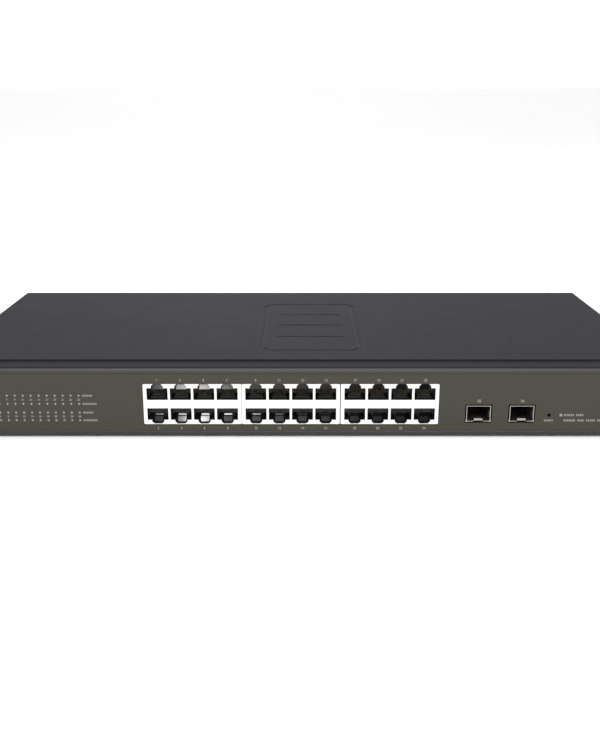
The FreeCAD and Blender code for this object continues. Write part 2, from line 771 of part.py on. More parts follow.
# ---------------------------------------------------------------- front parts


def socket_outlines(drawn, middle, gap="0", top_notch="NotchRise"):
    """The first socket of each row, with its latch step and notch."""
    x = f"({middle} - 1.5*PortPitch)"
    for up in SIDES.values():
        half = [
            (f"PortWide/2 + {gap}", f"WebHalf - {gap}"),
            (f"PortWide/2 + {gap}", f"ShoulderRise + {gap}"),
            (f"StepWide/2 + {gap}", f"ShoulderRise + {gap}"),
            (f"StepWide/2 + {gap}", f"StepRise + {gap}"),
            (f"NotchWide/2 + {gap}", top_notch if up > 0 else "NotchRise"),
        ]
        right = [(f"{x} + {a}", f"BlockMidZ + ({up})*({b})") for a, b in half]
        left = [(f"{x} - ({a})", f"BlockMidZ + ({up})*({b})") for a, b in reversed(half)]
        outline(drawn, right + left)


def jack_housing(name, middle):
    """Moulded block of two rows of four sockets, with a chin ahead of the board."""
    made = body(name)
    left = f"({middle} - {BLOCK_WIDE}/2)"
    low = "(BlockMidZ - BlockHigh/2)"
    top = "(BlockMidZ + BlockHigh/2)"
    side_view = sketch(made, "YZ", left)
    outline(
        side_view,
        [
            (JACK_FACE, low),
            (CHIN_REAR, low),
            (CHIN_REAR, "BoardTop"),
            (f"{JACK_FACE} + BlockDeep", "BoardTop"),
            (f"{JACK_FACE} + BlockDeep", top),
            (JACK_FACE, top),
        ],
    )
    pad(made, side_view, BLOCK_WIDE)
    sockets = sketch(made, "XZ", JACK_FACE)
    socket_outlines(sockets, middle)
    pattern(made, pocket(made, sockets, "PortDeep"), [("X", "PortPitch", "4")])
    comb = sketch(made, "XZ", f"{JACK_FACE} + 3.3")
    x = f"({middle} - 1.5*PortPitch)"
    for near, far in (("WebHalf - 0.2", "WebHalf + CombRise"), ("-WebHalf - CombRise", "-WebHalf + 0.2")):
        rectangle(comb, f"{x} - 4.4", f"BlockMidZ + {near}", f"{x} + 4.4", f"BlockMidZ + {far}")
    pattern(made, pad(made, comb, "1.1"), [("X", "PortPitch", "4")])
    return made


def port_plate(name, middle):
    """White plate on the face of a jack block; its upper notches are open at the top."""
    made = body(name)
    plate = sketch(made, "XZ", PLATE_FACE)
    half = f"{BLOCK_WIDE}/2"
    low = "(BlockMidZ - BlockHigh/2)"
    top = "(BlockMidZ + BlockHigh/2)"
    rectangle(plate, f"{middle} - {half}", low, f"{middle} + {half}", top)
    pad(made, plate, "PortPlate")

    def upright_corner(edge):
        bounds = edge.BoundBox
        return bounds.XLength < 1e-3 and bounds.ZLength < 1e-3

    round_edges(made, "0.7", upright_corner)
    sockets = sketch(made, "XZ", PLATE_FACE)
    socket_outlines(sockets, middle, "0.05", "BlockHigh/2 + 0.1")
    pattern(made, pocket(made, sockets, "PortPlate"), [("X", "PortPitch", "4")])
    return made


def jack_contacts(name, middle):
    """Hairpin contact wires, eight to a socket."""
    made = body(name)
    first = f"({middle} - 1.5*PortPitch - 3.5*WirePitch - WireWide/2)"
    wires = sketch(made, "YZ", first)
    back = f"({JACK_FACE} + PortDeep)"
    front = f"({JACK_FACE} + 4.6)"
    for up in SIDES.values():
        hairpin = [
            (back, "0.15"),
            (f"{front} + 0.4", "0.15"),
            (front, "0.55"),
            (f"{front} + 0.2", "0.95"),
            (f"{back} - 2.6", "3.1"),
            (f"{back} - 2.3", "3.1 - 0.8*WireThick"),
            (f"{front} + 0.75", "0.8"),
            (f"{front} + 0.7", "0.15 + WireThick"),
            (back, "0.15 + WireThick"),
        ]
        outline(wires, [(y, f"BlockMidZ + {up}*(WebHalf + {rise})") for y, rise in hairpin])
    wire = pad(made, wires, "WireWide")
    pattern(made, wire, [("X", "WirePitch", "8"), ("X", "PortPitch", "4")])
    return made


def sfp_cage(name, middle):
    """Stamped cage for a fibre module: sleeve, rim, latch tongue and side springs."""
    made = body(name)
    left = f"({middle} - CageWide/2)"
    right = f"({middle} + CageWide/2)"
    top = "(BoardTop + CageHigh)"
    mouth = FRONT
    outer = sketch(made, "XZ", mouth)
    rectangle(outer, left, "BoardTop", right, top)
    pad(made, outer, "CageDeep")
    rim = sketch(made, "XZ", mouth)
    half = [
        ("RimProud", f"{top} + RimProud/2"),
        ("RimProud", "BoardTop + 1.6"),
        ("RimProud + 0.35", "BoardTop + 0.5"),
        ("RimProud + 0.1", "BoardTop - 0.4"),
        ("-1.4", "BoardTop - 0.05"),
    ]
    outline(
        rim,
        [(f"{left} - ({out})", z) for out, z in half]
        + [(f"{right} + ({out})", z) for out, z in reversed(half)],
    )
    pad(made, rim, "RimDeep")
    hollow = sketch(made, "XZ", mouth)
    rectangle(
        hollow,
        f"{left} + CageWall",
        "BoardTop + CageWall",
        f"{right} - CageWall",
        f"{top} - CageWall",
    )
    pocket(made, hollow, "CageDeep - CageWall")
    gap = sketch(made, "XZ", mouth)
    rectangle(
        gap,
        f"{middle} - TongueWide/2 - 0.2",
        "BoardTop - 0.5",
        f"{middle} + TongueWide/2 + 0.2",
        "BoardTop + CageWall",
    )
    pocket(made, gap, "8")
    tongue = sketch(made, "YZ", f"{middle} - TongueWide/2")
    bent = [(8.2, 0), (8.2, 0.35), (1.5, 1.8), (0.3, 1.8), (0.3, 0.45), (0.7, 0.45), (0.7, 1.4), (1.4, 1.4)]
    bent += [(8, 0)]
    outline(tongue, [(f"{mouth} + {back}", f"BoardTop + {rise}") for back, rise in bent])
    pad(made, tongue, "TongueWide")
    for side, wall in ((1, f"{left} + CageWall"), (-1, f"{right} - CageWall")):
        spring = sketch(made, "XY", "BoardTop + 2.6")
        outline(
            spring,
            [
                (f"{wall} - ({side})*0.1", f"{mouth} + 1.6"),
                (f"{wall} + ({side})*0.2", f"{mouth} + 5.6"),
                (f"{wall} + ({side})*0.45", f"{mouth} + 5.4"),
                (f"{wall} + ({side})*0.2", f"{mouth} + 1.3"),
                (f"{wall} - ({side})*0.1", f"{mouth} + 1.3"),
            ],
        )
        pad(made, spring, "3.6")
    return made


def sfp_connector(name, middle):
    """Black board-edge socket at the rear of a cage."""
    rear = f"({FRONT} + CageDeep - CageWall - 0.2)"
    low = "(BoardTop + CageWall + 0.05)"
    shell = box(
        name + "_shell",
        (f"{middle} - 6", f"{rear} - 9", low),
        (f"{middle} + 6", rear, f"{low} + 6.4"),
    )
    slot = box(
        name + "_slot",
        (f"{middle} - 5", f"{rear} - 9.1", f"{low} + 2.4"),
        (f"{middle} + 5", f"{rear} - 2.5", f"{low} + 4.2"),
    )
    return cut(name, shell, slot)


def lamp_holders():
    """Black right-angle holders that stack the lamps, one to a column."""
    made = body("lamp_holders")
    low = "(LampRowD - LampRadius - 0.7)"
    top = "(LampRowA + LampRadius + 0.7)"
    profile = [
        (f"{WALL_REAR} + 0.6", low),
        (CHIN_REAR, low),
        (CHIN_REAR, "BoardTop"),
        ("BoardFront + 4", "BoardTop"),
        ("BoardFront + 4", top),
        (f"{WALL_REAR} + 0.6", top),
    ]
    power = sketch(made, "YZ", "PowerLampX - HolderWide/2")
    outline(power, profile)
    pad(made, power, "HolderWide")
    column = sketch(made, "YZ", "LampFirst - HolderWide/2")
    outline(column, profile)
    pattern(made, pad(made, column, "HolderWide"), [("X", "LampPitch", "LampColumns")])
    return made


def lamp_lenses():
    """Milky lens of each lamp, flush with the front film."""
    made = body("lamp_lenses")
    length = f"{WALL_REAR} + 0.6 - ({FRONT} + 0.1)"
    power = sketch(made, "XZ", f"{FRONT} + 0.1")
    for row in LAMP_ROWS[:2]:
        circle(power, "PowerLampX", row, "LampRadius")
    pad(made, power, length)
    column = sketch(made, "XZ", f"{FRONT} + 0.1")
    for row in LAMP_ROWS:
        circle(column, "LampFirst", row, "LampRadius")
    pattern(made, pad(made, column, length), [("X", "LampPitch", "LampColumns")])
    return made


def reset_switch():
    """Switch body on the board and the plunger that slides in its bore."""
    front = "(BoardFront + 0.2)"
    shell = box(
        "reset_shell",
        ("ResetX - 3.1", front, "BoardTop"),
        ("ResetX + 3.1", f"{front} + 3.6", "ResetZ + 3.1"),
    )
    bore = cylinder("reset_bore", ("ResetX", f"{front} - 0.1", "ResetZ"), "Y", "ResetRadius + 0.08", "2.3")
    cut("reset_switch_body", shell, bore)
    start = f"({WALL_REAR} + 1.4)"
    end = f"({front} + 2.2 - ResetTravel - 0.2)"
    stem = cylinder("reset_stem", ("ResetX", start, "ResetZ"), "Y", "ResetRadius", f"{end} - {start}")
    flange = cylinder("reset_flange", ("ResetX", f"{front} - 1.5", "ResetZ"), "Y", "ResetRadius + 0.6", "0.9")
    fuse("reset_button", [stem, flange])


# ---------------------------------------------------------------- boards


def board(name, left, front, right, rear, holes):
    made = body(name)
    plate = sketch(made, "XY", "BoardTop - BoardThick")
    rectangle(plate, left, front, right, rear)
    pad(made, plate, "BoardThick")
    drilled = sketch(made, "XY", "BoardTop - BoardThick")
    for x, y in holes:
        circle(drilled, x, y, "1.6")
    pocket(made, drilled, "BoardThick")
    return made


def chip(name, x, y, wide, deep, high, base="BoardTop"):
    """A block component centred at x, y on a board."""
    return box(
        name,
        (f"({x}) - {wide}/2", f"({y}) - {deep}/2", base),
        (f"({x}) + {wide}/2", f"({y}) + {deep}/2", f"{base} + {high}"),
    )


def heatsink(name, x, y, wide, deep, plate, high, fins, base, places="1", step="0"):
    """Finned heat sink, its fins front to rear, or a row of them one step apart."""
    made = body(name)
    foot_plate = sketch(made, "XY", base)
    rectangle(
        foot_plate, f"({x}) - {wide}/2", f"({y}) - {deep}/2", f"({x}) + {wide}/2", f"({y}) + {deep}/2"
    )
    plates = pad(made, foot_plate, plate)
    if places != "1":
        pattern(made, plates, [("X", step, places)])
    fin = sketch(made, "XY", f"{base} + {plate}")
    rectangle(
        fin, f"({x}) - {wide}/2", f"({y}) - {deep}/2", f"({x}) - {wide}/2 + 1", f"({y}) + {deep}/2"
    )
    steps = [("X", f"({wide} - 1)/{fins - 1}", str(fins))]
    if places != "1":
        steps.append(("X", step, places))
    pattern(made, pad(made, fin, f"{high} - {plate}"), steps)
    return made


def board_parts():
    """Chips, magnetics, capacitors and heat sinks of the main board."""
    chip("switch_chip", "BlockMidX", "-6", 27, 27, 2)
    heatsink("switch_heatsink", "BlockMidX", "-6", 40, 40, 3, 14, 11, "BoardTop + 2")
    middles = [f"(BlockMidX + {i}*BlockPitch)" for i in (-1, 0, 1)]
    group("phy_chips", [chip(f"phy_chip_{i}", x, "-42", 20, 20, 1.4) for i, x in enumerate(middles)])
    phy_top = "BoardTop + 1.4"
    heatsink("phy_heatsinks", middles[0], "-42", 27, 27, 2.4, 9, 8, phy_top, "3", "BlockPitch")
    group(
        "magnetics",
        [
            chip(f"magnetic_{i}", f"BlockMidX + ({i} - 5.5)*14.8", "-65.5", 12.7, 9.6, 5.8)
            for i in range(12)
        ],
    )
    group(
        "memory_chips",
        [chip("memory_a", "40", "-8", 12, 8, 1), chip("memory_b", "58", "-8", 12, 8, 1)],
    )
    cans = [("-150", "-20"), ("-150", "-4"), ("-134", "-20"), ("84", "4"), ("84", "-10"), ("110", "-20")]
    group(
        "board_capacitors",
        [
            cylinder(f"can_{i}", (x, y, "BoardTop"), "Z", "4", "11.5")
            for i, (x, y) in enumerate(cans)
        ],
    )
    coils = [("-90", "6"), ("-72", "6"), ("-54", "6")]
    group(
        "board_inductors",
        [chip(f"coil_{i}", x, y, 11, 11, 5.5) for i, (x, y) in enumerate(coils)],
    )


def supply_parts():
    """Transformer, bulk capacitor, heat sinks and filter of the power supply."""
    core = chip("transformer_core", "-126", "52", 22, 28, 22)
    winding = chip("transformer_winding", "-126", "52", 30, 16, 18)
    fuse("supply_transformer", [core, winding])
    cylinder("supply_bulk_capacitor", ("-158.8", "33", "BoardTop + 9"), "Y", "9", "30")
    group(
        "supply_heatsinks",
        [chip("sink_a", "-144", "56", 2.4, 34, 25), chip("sink_b", "-107", "60", 2.4, 36, 25)],
    )
    group(
        "supply_semiconductors",
        [
            chip("power_switch", "-147.2", "66", 4, 10, 15, "BoardTop + 4"),
            chip("power_diode", "-110.2", "69", 4, 10, 15, "BoardTop + 4"),
        ],
    )
    ring = doc.addObject("Part::Torus", "supply_choke")
    ring.Label = "supply_choke"
    ring.Radius1 = 7
    ring.Radius2 = 3.6
    bind(ring, "Placement.Base.x", "-190")
    bind(ring, "Placement.Base.y", "46")
    bind(ring, "Placement.Base.z", "BoardTop + 3.6")
    group(
        "supply_filter_capacitors",
        [chip("filter_a", "-191", "62", 18, 8, 14), chip("filter_b", "-173", "46", 8, 18, 12)],
    )
    cans = [("-98.5", "46"), ("-98.5", "58")]
    group(
        "supply_output_capacitors",
        [cylinder(f"output_can_{i}", (x, y, "BoardTop"), "Z", "5", "20") for i, (x, y) in enumerate(cans)],
    )
    made = body("supply_insulator")
    film = sketch(made, "XY", FLOOR)
    rectangle(film, "BoardLeft", "SupplyFront", "SupplyRight", "SupplyRear")
    pad(made, film, "0.3")
    holes = sketch(made, "XY", FLOOR)
    for x, y in SUPPLY_STANDOFFS:
        circle(holes, x, y, "4")
    circle(holes, "-FootX", "FootY", "RecessRadius + 2")
    pocket(made, holes, "0.3")


def supply_lead():
    """Two wafer connectors and the four-wire lead that joins them over the gap."""
    output_at = ("-112", "33")
    input_at = ("-70", "-12")
    chip("supply_output_connector", *output_at, 12, 6, 8)
    chip("board_power_connector", *input_at, 12, 6, 8)
    top = value("BoardTop + 8")
    start = Vector(value(output_at[0]), value(output_at[1]), top)
    end = Vector(value(input_at[0]), value(input_at[1]), top)
    up = Vector(0, 0, 11)
    wires = []
    for shift in (-3.75, -1.25, 1.25, 3.75):
        aside = Vector(shift, 0, 0)
        wires.append(tube([start + aside, start + aside + up, end + aside + up, end + aside], 9, 0.8))
    feature("supply_lead", Part.Compound(wires))


def tube(route, bend, radius):
    """A round wire along straight runs joined by tangent arcs of one bend radius."""
    edges = []
    at = route[0]
    for before, corner, after in zip(route, route[1:], route[2:]):
        into = (corner - before).normalize()
        out = (after - corner).normalize()
        turn = into.getAngle(out)
        trim = bend * math.tan(turn / 2)
        arc_start = corner - into * trim
        arc_end = corner + out * trim
        toward = (out - into).normalize()
        middle = corner + toward * (bend / math.cos(turn / 2) - bend)
        edges.append(Part.LineSegment(at, arc_start).toShape())
        edges.append(Part.Arc(arc_start, middle, arc_end).toShape())
        at = arc_end
    edges.append(Part.LineSegment(at, route[-1]).toShape())
    path = Part.Wire(edges)
    heading = (route[1] - route[0]).normalize()
    ring = Part.Wire([Part.Circle(route[0], heading, radius).toShape()])
    solid = path.makePipeShell([ring], True, True)
    expected = math.pi * radius**2 * path.Length
    if abs(solid.Volume - expected) > 0.02 * expected:
        raise RuntimeError("a wire's volume is not its section times its length")
    return solid


# ---------------------------------------------------------------- power inlet


def power_inlet():
    """Mains inlet: flanged moulding with a recess, and its three pins."""
    made = body("power_inlet")
    flange = sketch(made, "XZ", REAR)
    rectangle(
        flange,
        "InletX - InletFlangeWide/2",
        "InletZ - InletFlangeHigh/2",
        "InletX + InletFlangeWide/2",
        "InletZ + InletFlangeHigh/2",
    )
    pad(made, flange, "InletFlange")

    def flange_corner(edge):
        bounds = edge.BoundBox
        return bounds.XLength < 1e-3 and bounds.ZLength < 1e-3

    round_edges(made, "4", flange_corner)
    shell = sketch(made, "XZ", f"{REAR} - InletDeep")
    rectangle(
        shell,
        "InletX - InletWide/2",
        "InletZ - InletHigh/2",
        "InletX + InletWide/2",
        "InletZ + InletHigh/2",
    )
    pad(made, shell, "InletDeep")
    mouth = sketch(made, "XZ", f"{REAR} + InletFlange - MouthDeep")
    corner = 5
    outline(
        mouth,
        [
            ("InletX - MouthWide/2", "InletZ - MouthHigh/2"),
            ("InletX + MouthWide/2", "InletZ - MouthHigh/2"),
            ("InletX + MouthWide/2", f"InletZ + MouthHigh/2 - {corner}"),
            (f"InletX + MouthWide/2 - {corner}", "InletZ + MouthHigh/2"),
            (f"InletX - MouthWide/2 + {corner}", "InletZ + MouthHigh/2"),
            ("InletX - MouthWide/2", f"InletZ + MouthHigh/2 - {corner}"),
        ],
    )
    pocket(made, mouth, "MouthDeep")
    screws = sketch(made, "XZ", REAR)
    for side in SIDES.values():
        circle(screws, f"InletX + {side}*InletScrewPitch/2", "InletZ", "1.7")
    pocket(made, screws, "InletFlange")
    slots = sketch(made, "XZ", f"{REAR} - InletDeep")
    for x, z in PINS:
        rectangle(slots, f"{x} - 1.1", f"{z} - 2.1", f"{x} + 1.1", f"{z} + 2.1")
    pocket(made, slots, "InletDeep + InletFlange - MouthDeep")

    blades = []
    for number, (x, z) in enumerate(PINS):
        blades.append(
            box(
                f"blade_{number}",
                (f"{x} - 1", f"{REAR} - InletDeep - 7", f"{z} - 2"),
                (f"{x} + 1", f"{REAR} - 1.4", f"{z} + 2"),
            )
        )
    group("power_inlet_pins", blades)


def mains_leads():
    """Insulated leads from the inlet's tabs down to the supply board."""
    tab = value(f"{REAR} - InletDeep - 7")
    leads = []
    for x, z in PINS:
        start = Vector(value(x), tab, value(z))
        corner = Vector(value(x), tab - 8, value(z))
        end = Vector(value(x), tab - 8, value("BoardTop"))
        leads.append(tube([start, corner, end], 5.5, 0.9))
    feature("mains_leads", Part.Compound(leads))


# ---------------------------------------------------------------- fan


def fan():
    """Axial fan: square frame with a motor boss on three arms, and the bladed rotor."""
    rear = f"({REAR} - Sheet - 0.1)"
    front = f"({rear} - FanDeep)"
    made = body("fan_frame")
    square = sketch(made, "XZ", front)
    half = "FanSide/2"
    rectangle(square, f"FanX - {half}", f"FanZ - {half}", f"FanX + {half}", f"FanZ + {half}")
    pad(made, square, "FanDeep")
    airway = sketch(made, "XZ", front)
    circle(airway, "FanX", "FanZ", "FanBore")
    for side in SIDES.values():
        for up in SIDES.values():
            x = f"FanX + {side}*FanScrewPitch/2"
            circle(airway, x, f"FanZ + {up}*FanScrewPitch/2", "1.6")
    pocket(made, airway, "FanDeep")
    boss = sketch(made, "XZ", f"{rear} - 3")
    circle(boss, "FanX", "FanZ", "HubRadius")
    pad(made, boss, "3")
    reach = "(FanBore + 0.4)"
    upright = sketch(made, "XZ", f"{rear} - 2.4")
    rectangle(upright, "FanX - 1.2", f"FanZ - {reach}", "FanX + 1.2", f"FanZ + {reach}")
    pad(made, upright, "2.4")
    level = sketch(made, "XZ", f"{rear} - 2.4")
    rectangle(level, f"FanX - {reach}", "FanZ - 1.2", f"FanX + {reach}", "FanZ + 1.2")
    pad(made, level, "2.4")
    bearing = sketch(made, "XZ", f"{rear} - 3")
    circle(bearing, "FanX", "FanZ", "ShaftRadius + 0.05")
    pocket(made, bearing, "2.4")
    return front, rear


def fan_rotor(front, rear):
    """Hub, seven twisted blades and the shaft, in one moulding."""
    axis = Vector(value("FanX"), 0, value("FanZ"))
    low = value(front) + 1.6
    high = value(rear) - 3.8
    toward = Vector(0, 1, 0)
    hub = Part.makeCylinder(value("HubRadius"), high - low, axis + toward * low, toward)
    rim = [edge for edge in hub.Edges if abs(edge.BoundBox.YMax - low) < 1e-6 and edge.Closed]
    hub = hub.makeFillet(1.2, rim)
    hollow = Part.makeCylinder(value("HubRadius") - 1.4, 9, axis + toward * (high - 9), toward)
    shaft_end = value(rear) - 0.9
    shaft = Part.makeCylinder(value("ShaftRadius"), shaft_end - low - 2, axis + toward * (low + 2), toward)
    rotor = hub.cut(hollow).fuse(shaft)
    inner = value("HubRadius") - 0.6
    outer = value("RotorRadius")
    sections = []
    for radius, pitch in ((inner, 38), (outer, 58)):
        half_chord = 5.6
        half_thick = 0.55
        corners = []
        for u, v in ((-1, -1), (1, -1), (1, 1), (-1, 1)):
            across = u * half_chord
            thick = v * half_thick
            turn = math.radians(pitch)
            y = across * math.cos(turn) - thick * math.sin(turn)
            sweep = across * math.sin(turn) + thick * math.cos(turn)
            spot = axis + Vector(sweep, (low + high) / 2 + y, radius)
            corners.append(spot)
        sections.append(Part.makePolygon(corners + corners[:1]))
    blade = Part.makeLoft(sections, True, True)
    limit = Part.makeCylinder(outer, high - low, axis + toward * low, toward)
    blade = blade.common(limit)
    count = 7
    for number in range(count):
        turned = blade.copy()
        turned.rotate(axis, toward, number * 360 / count)
        rotor = rotor.fuse(turned)
    feature("fan_rotor", rotor.removeSplitter())


def fan_lead():
    """Two wires from the fan frame to their connector on the main board."""
    x = value("FanX - FanSide/2")
    connector = value("BoardRear") - 4
    wires = []
    for rise in (1.9, 3.9):
        z = value("BoardTop") + rise
        route = [Vector(x, 90, z), Vector(x - 8, 90, z), Vector(x - 8, connector, z)]
        wires.append(tube(route, 6, 0.7))
    feature("fan_lead", Part.Compound(wires))
    chip("fan_connector", "FanX - FanSide/2 - 8", "BoardRear - 7", 6, 6, 6)


# ---------------------------------------------------------------- fasteners


def pan_screw(head, head_high, shank, length):
    """A pan-head screw on +Z: head above 0, shank below, with a cross recess."""
    top = Part.makeCylinder(head, head_high)
    rim = [edge for edge in top.Edges if abs(edge.BoundBox.ZMin - head_high) < 1e-6 and edge.Closed]
    top = top.makeFillet(head_high * 0.45, rim)
    bolt = top.fuse(Part.makeCylinder(shank, length, Vector(), Vector(0, 0, -1)))
    return bolt.cut(cross(head, head_high))


def cross(head, top):
    """The cross recess in a screw head whose face is at height `top`."""
    reach = head * 0.6
    wide = head * 0.2
    deep = head * 0.35
    low = Vector(-reach, -wide / 2, top - deep)
    one = Part.makeBox(2 * reach, wide, deep + 1, low)
    other = one.copy()
    other.rotate(Vector(), Vector(0, 0, 1), 90)
    return one.fuse(other)


def copies(shape, facing, places):
    """One solid put at several places, with its +Z turned to `facing`."""
    turn = Rotation(Vector(0, 0, 1), facing)
    made = []
    for x, y, z in places:
        copied = shape.copy()
        copied.Placement = Placement(Vector(value(x), value(y), value(z)), turn)
        made.append(copied)
    return made


def fasteners():
    """Every screw and board pillar; identical ones are one sub-part."""
    up = Vector(0, 0, 1)
    rear = Vector(0, 1, 0)
    small = pan_screw(2.8, 1.8, 1.45, 5)
    stands = MAIN_STANDOFFS + SUPPLY_STANDOFFS
    screw_set("board_screws", small, up, [(x, y, "BoardTop") for x, y in stands])

    high = value(f"BoardTop - BoardThick - {FLOOR}")
    pillar = Part.Face(Part.Wire(hexagon(2.9))).extrude(Vector(0, 0, high))
    pillar = pillar.cut(Part.makeCylinder(1.5, high - 1, Vector(0, 0, 1)))
    screw_set("board_standoffs", pillar, up, [(x, y, FLOOR) for x, y in stands])

    cover = []
    ears = []
    for side in SIDES.values():
        out = Vector(side, 0, 0)
        cover += copies(small, out, [(f"{side}*{SIDE}", y, "CoverScrewZ") for y in COVER_SCREW_YS])
        for along in SIDES.values():
            for rise in SIDES.values():
                y = f"EarScrewY + {along}*EarScrewPitchY/2"
                z = f"{EAR_MID_Z} + {rise}*EarScrewPitchZ/2"
                ears += copies(small, out, [(f"{side}*({SIDE} + EarThick)", y, z)])
    feature("cover_screws", Part.Compound(cover))
    feature("ear_screws", Part.Compound(ears))

    across = [f"InletX + {side}*InletScrewPitch/2" for side in SIDES.values()]
    inlet_screw = pan_screw(2.6, 1.4, 1.45, 6)
    screw_set("inlet_screws", inlet_screw, rear, [(x, f"{REAR} + InletFlange", "InletZ") for x in across])
    fan_places = [
        (f"FanX + {side}*FanScrewPitch/2", REAR, f"FanZ + {rise}*FanScrewPitch/2")
        for side in SIDES.values()
        for rise in SIDES.values()
    ]
    screw_set("fan_screws", pan_screw(2.6, 1.4, 1.45, 9), rear, fan_places)
    screw_set("ground_screw", pan_screw(3.8, 1.5, 1.95, 7), rear, [("GroundX", REAR, "GroundZ")])
    bezel_places = [(x, WALL_REAR, z) for x, z in BEZEL_SCREWS]
    screw_set("bezel_screws", pan_screw(2.6, 1.4, 1.25, 2.7), rear, bezel_places)


def screw_set(name, shape, facing, places):
    feature(name, Part.Compound(copies(shape, facing, places)))


def hexagon(across):
    """A hexagon's edges about the origin, `across` from the middle to a flat."""
    reach = across / math.cos(math.pi / 6)
    corners = [
        Vector(reach * math.cos(i * math.pi / 3), reach * math.sin(i * math.pi / 3), 0) for i in range(6)
    ]
    return [Part.LineSegment(corners[i - 1], corners[i]).toShape() for i in range(6)]


# ---------------------------------------------------------------- the whole switch


def build():
    """Makes every sub-part."""
    base_pan()
    top_cover()
    front_bezel()
    front_film()
    for word, side in SIDES.items():
        rack_ear(f"rack_ear_{word}", side)
    feet()

    for word, place in (("left", "-BlockPitch"), ("middle", "0"), ("right", "BlockPitch + SeamExtra")):
        middle = f"(BlockMidX + ({place}))"
        jack_housing(f"jack_block_{word}", middle)
        port_plate(f"port_plate_{word}", middle)
        jack_contacts(f"jack_contacts_{word}", middle)
    connectors = []
    for word, side in SIDES.items():
        middle = f"(CageMidX + ({side})*CagePitch/2)"
        sfp_cage(f"sfp_cage_{word}", middle)
        connectors.append(sfp_connector(f"connector_{word}", middle))
    group("sfp_connectors", connectors)
    lamp_holders()
    lamp_lenses()
    reset_switch()

    board("main_board", "BoardLeft", "BoardFront", "BoardRight", "BoardRear", MAIN_STANDOFFS)
    board("supply_board", "BoardLeft", "SupplyFront", "SupplyRight", "SupplyRear", SUPPLY_STANDOFFS)
    board_parts()
    supply_parts()
    supply_lead()
    power_inlet()
    mains_leads()
    front, rear = fan()
    fan_rotor(front, rear)
    fan_lead()
    fasteners()


def sub_parts():
    """The objects that no other object contains: one for each node."""
    inner = set()
    for thing in doc.Objects:
        for prop in ("Links", "Shapes", "Base", "Tool"):
            held = getattr(thing, prop, None)
            held = held if isinstance(held, (list, tuple)) else [held]
            if thing.TypeId.startswith("Part::"):
                inner.update(h.Name for h in held if hasattr(h, "Name"))
    kinds = ("PartDesign::Body", "Part::")
    found = [t for t in doc.Objects if t.TypeId.startswith(kinds) and t.Name not in inner]
    return [t for t in found if t.TypeId == "PartDesign::Body" or t.getParentGeoFeatureGroup() is None]


def check_and_export():
    """Stops on any failed object or bad shape, then writes one file for each sub-part."""
    doc.recompute()
    failed = [t.Name for t in doc.Objects if {"Invalid", "Error"} & set(t.State)]
    if failed:
        raise RuntimeError("failed objects: " + ", ".join(failed))
    made = sub_parts()
    for thing in made:
        shape = thing.Shape
        if shape.isNull() or not shape.isValid() or not shape.Solids:
            raise RuntimeError("bad shape: " + thing.Label)
    os.makedirs("parts", exist_ok=True)
    for thing in made:
        thing.Shape.exportStep(f"parts/{thing.Label}.step")
    print(len(made), "sub-parts written")


build()
check_and_export()
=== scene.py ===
import math

import bpy
from mathutils import Matrix, Vector


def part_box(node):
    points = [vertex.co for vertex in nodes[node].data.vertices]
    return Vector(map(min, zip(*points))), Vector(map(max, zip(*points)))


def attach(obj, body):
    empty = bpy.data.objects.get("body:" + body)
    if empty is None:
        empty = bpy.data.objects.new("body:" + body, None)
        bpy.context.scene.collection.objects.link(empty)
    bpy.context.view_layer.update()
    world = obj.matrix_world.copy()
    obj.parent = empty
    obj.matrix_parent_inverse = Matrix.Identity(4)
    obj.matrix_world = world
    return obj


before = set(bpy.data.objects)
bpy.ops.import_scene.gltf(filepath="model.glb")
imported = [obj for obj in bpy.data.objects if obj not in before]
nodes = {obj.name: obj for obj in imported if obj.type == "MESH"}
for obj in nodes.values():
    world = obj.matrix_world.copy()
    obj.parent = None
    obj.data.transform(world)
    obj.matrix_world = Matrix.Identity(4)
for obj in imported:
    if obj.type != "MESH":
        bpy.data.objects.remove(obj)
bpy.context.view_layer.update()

MM = 0.001
BODY = "chassis"


# ---------------------------------------------------------------- material helpers


NOISE_ROUGHNESS = 0.55
BEVEL_SAMPLES = 4
# how far a rounded edge's normal turns, as 1 less the cosine, where its rubbing and painted highlight
# start and are full
RUB_AND_HIGHLIGHT_STARTS, RUB_AND_HIGHLIGHT_FULL = 0.02, 0.3
FULL_WHITE = (1, 1, 1)


class Nodes:
    """Short ways to add nodes to a node tree."""

    def __init__(self, tree):
        self.tree = tree

    def node(self, kind, **settings):
        made = self.tree.nodes.new(kind)
        for key, held in settings.items():
            setattr(made, key, held)
        return made

    def link(self, start, end):
        self.tree.links.new(start, end)

    def math(self, operation, first, second=None):
        made = self.node("ShaderNodeMath", operation=operation)
        for held, socket in zip((first, second), made.inputs):
            if isinstance(held, (int, float)):
                socket.default_value = held
            elif held is not None:
                self.link(held, socket)
        return made.outputs["Value"]

    def map_range(self, factor, low, high, start=0.0, end=1.0, steps="LINEAR"):
        """Runs from low to high while the factor runs from start to end."""
        made = self.node("ShaderNodeMapRange", interpolation_type=steps)
        made.inputs["From Min"].default_value = start
        made.inputs["From Max"].default_value = end
        made.inputs["To Min"].default_value = low
        made.inputs["To Max"].default_value = high
        self.link(factor, made.inputs["Value"])
        return made.outputs["Result"]

    def split(self, vector):
        """The X, Y and Z of a vector."""
        made = self.node("ShaderNodeSeparateXYZ")
        self.link(vector, made.inputs["Vector"])
        return made.outputs["X"], made.outputs["Y"], made.outputs["Z"]


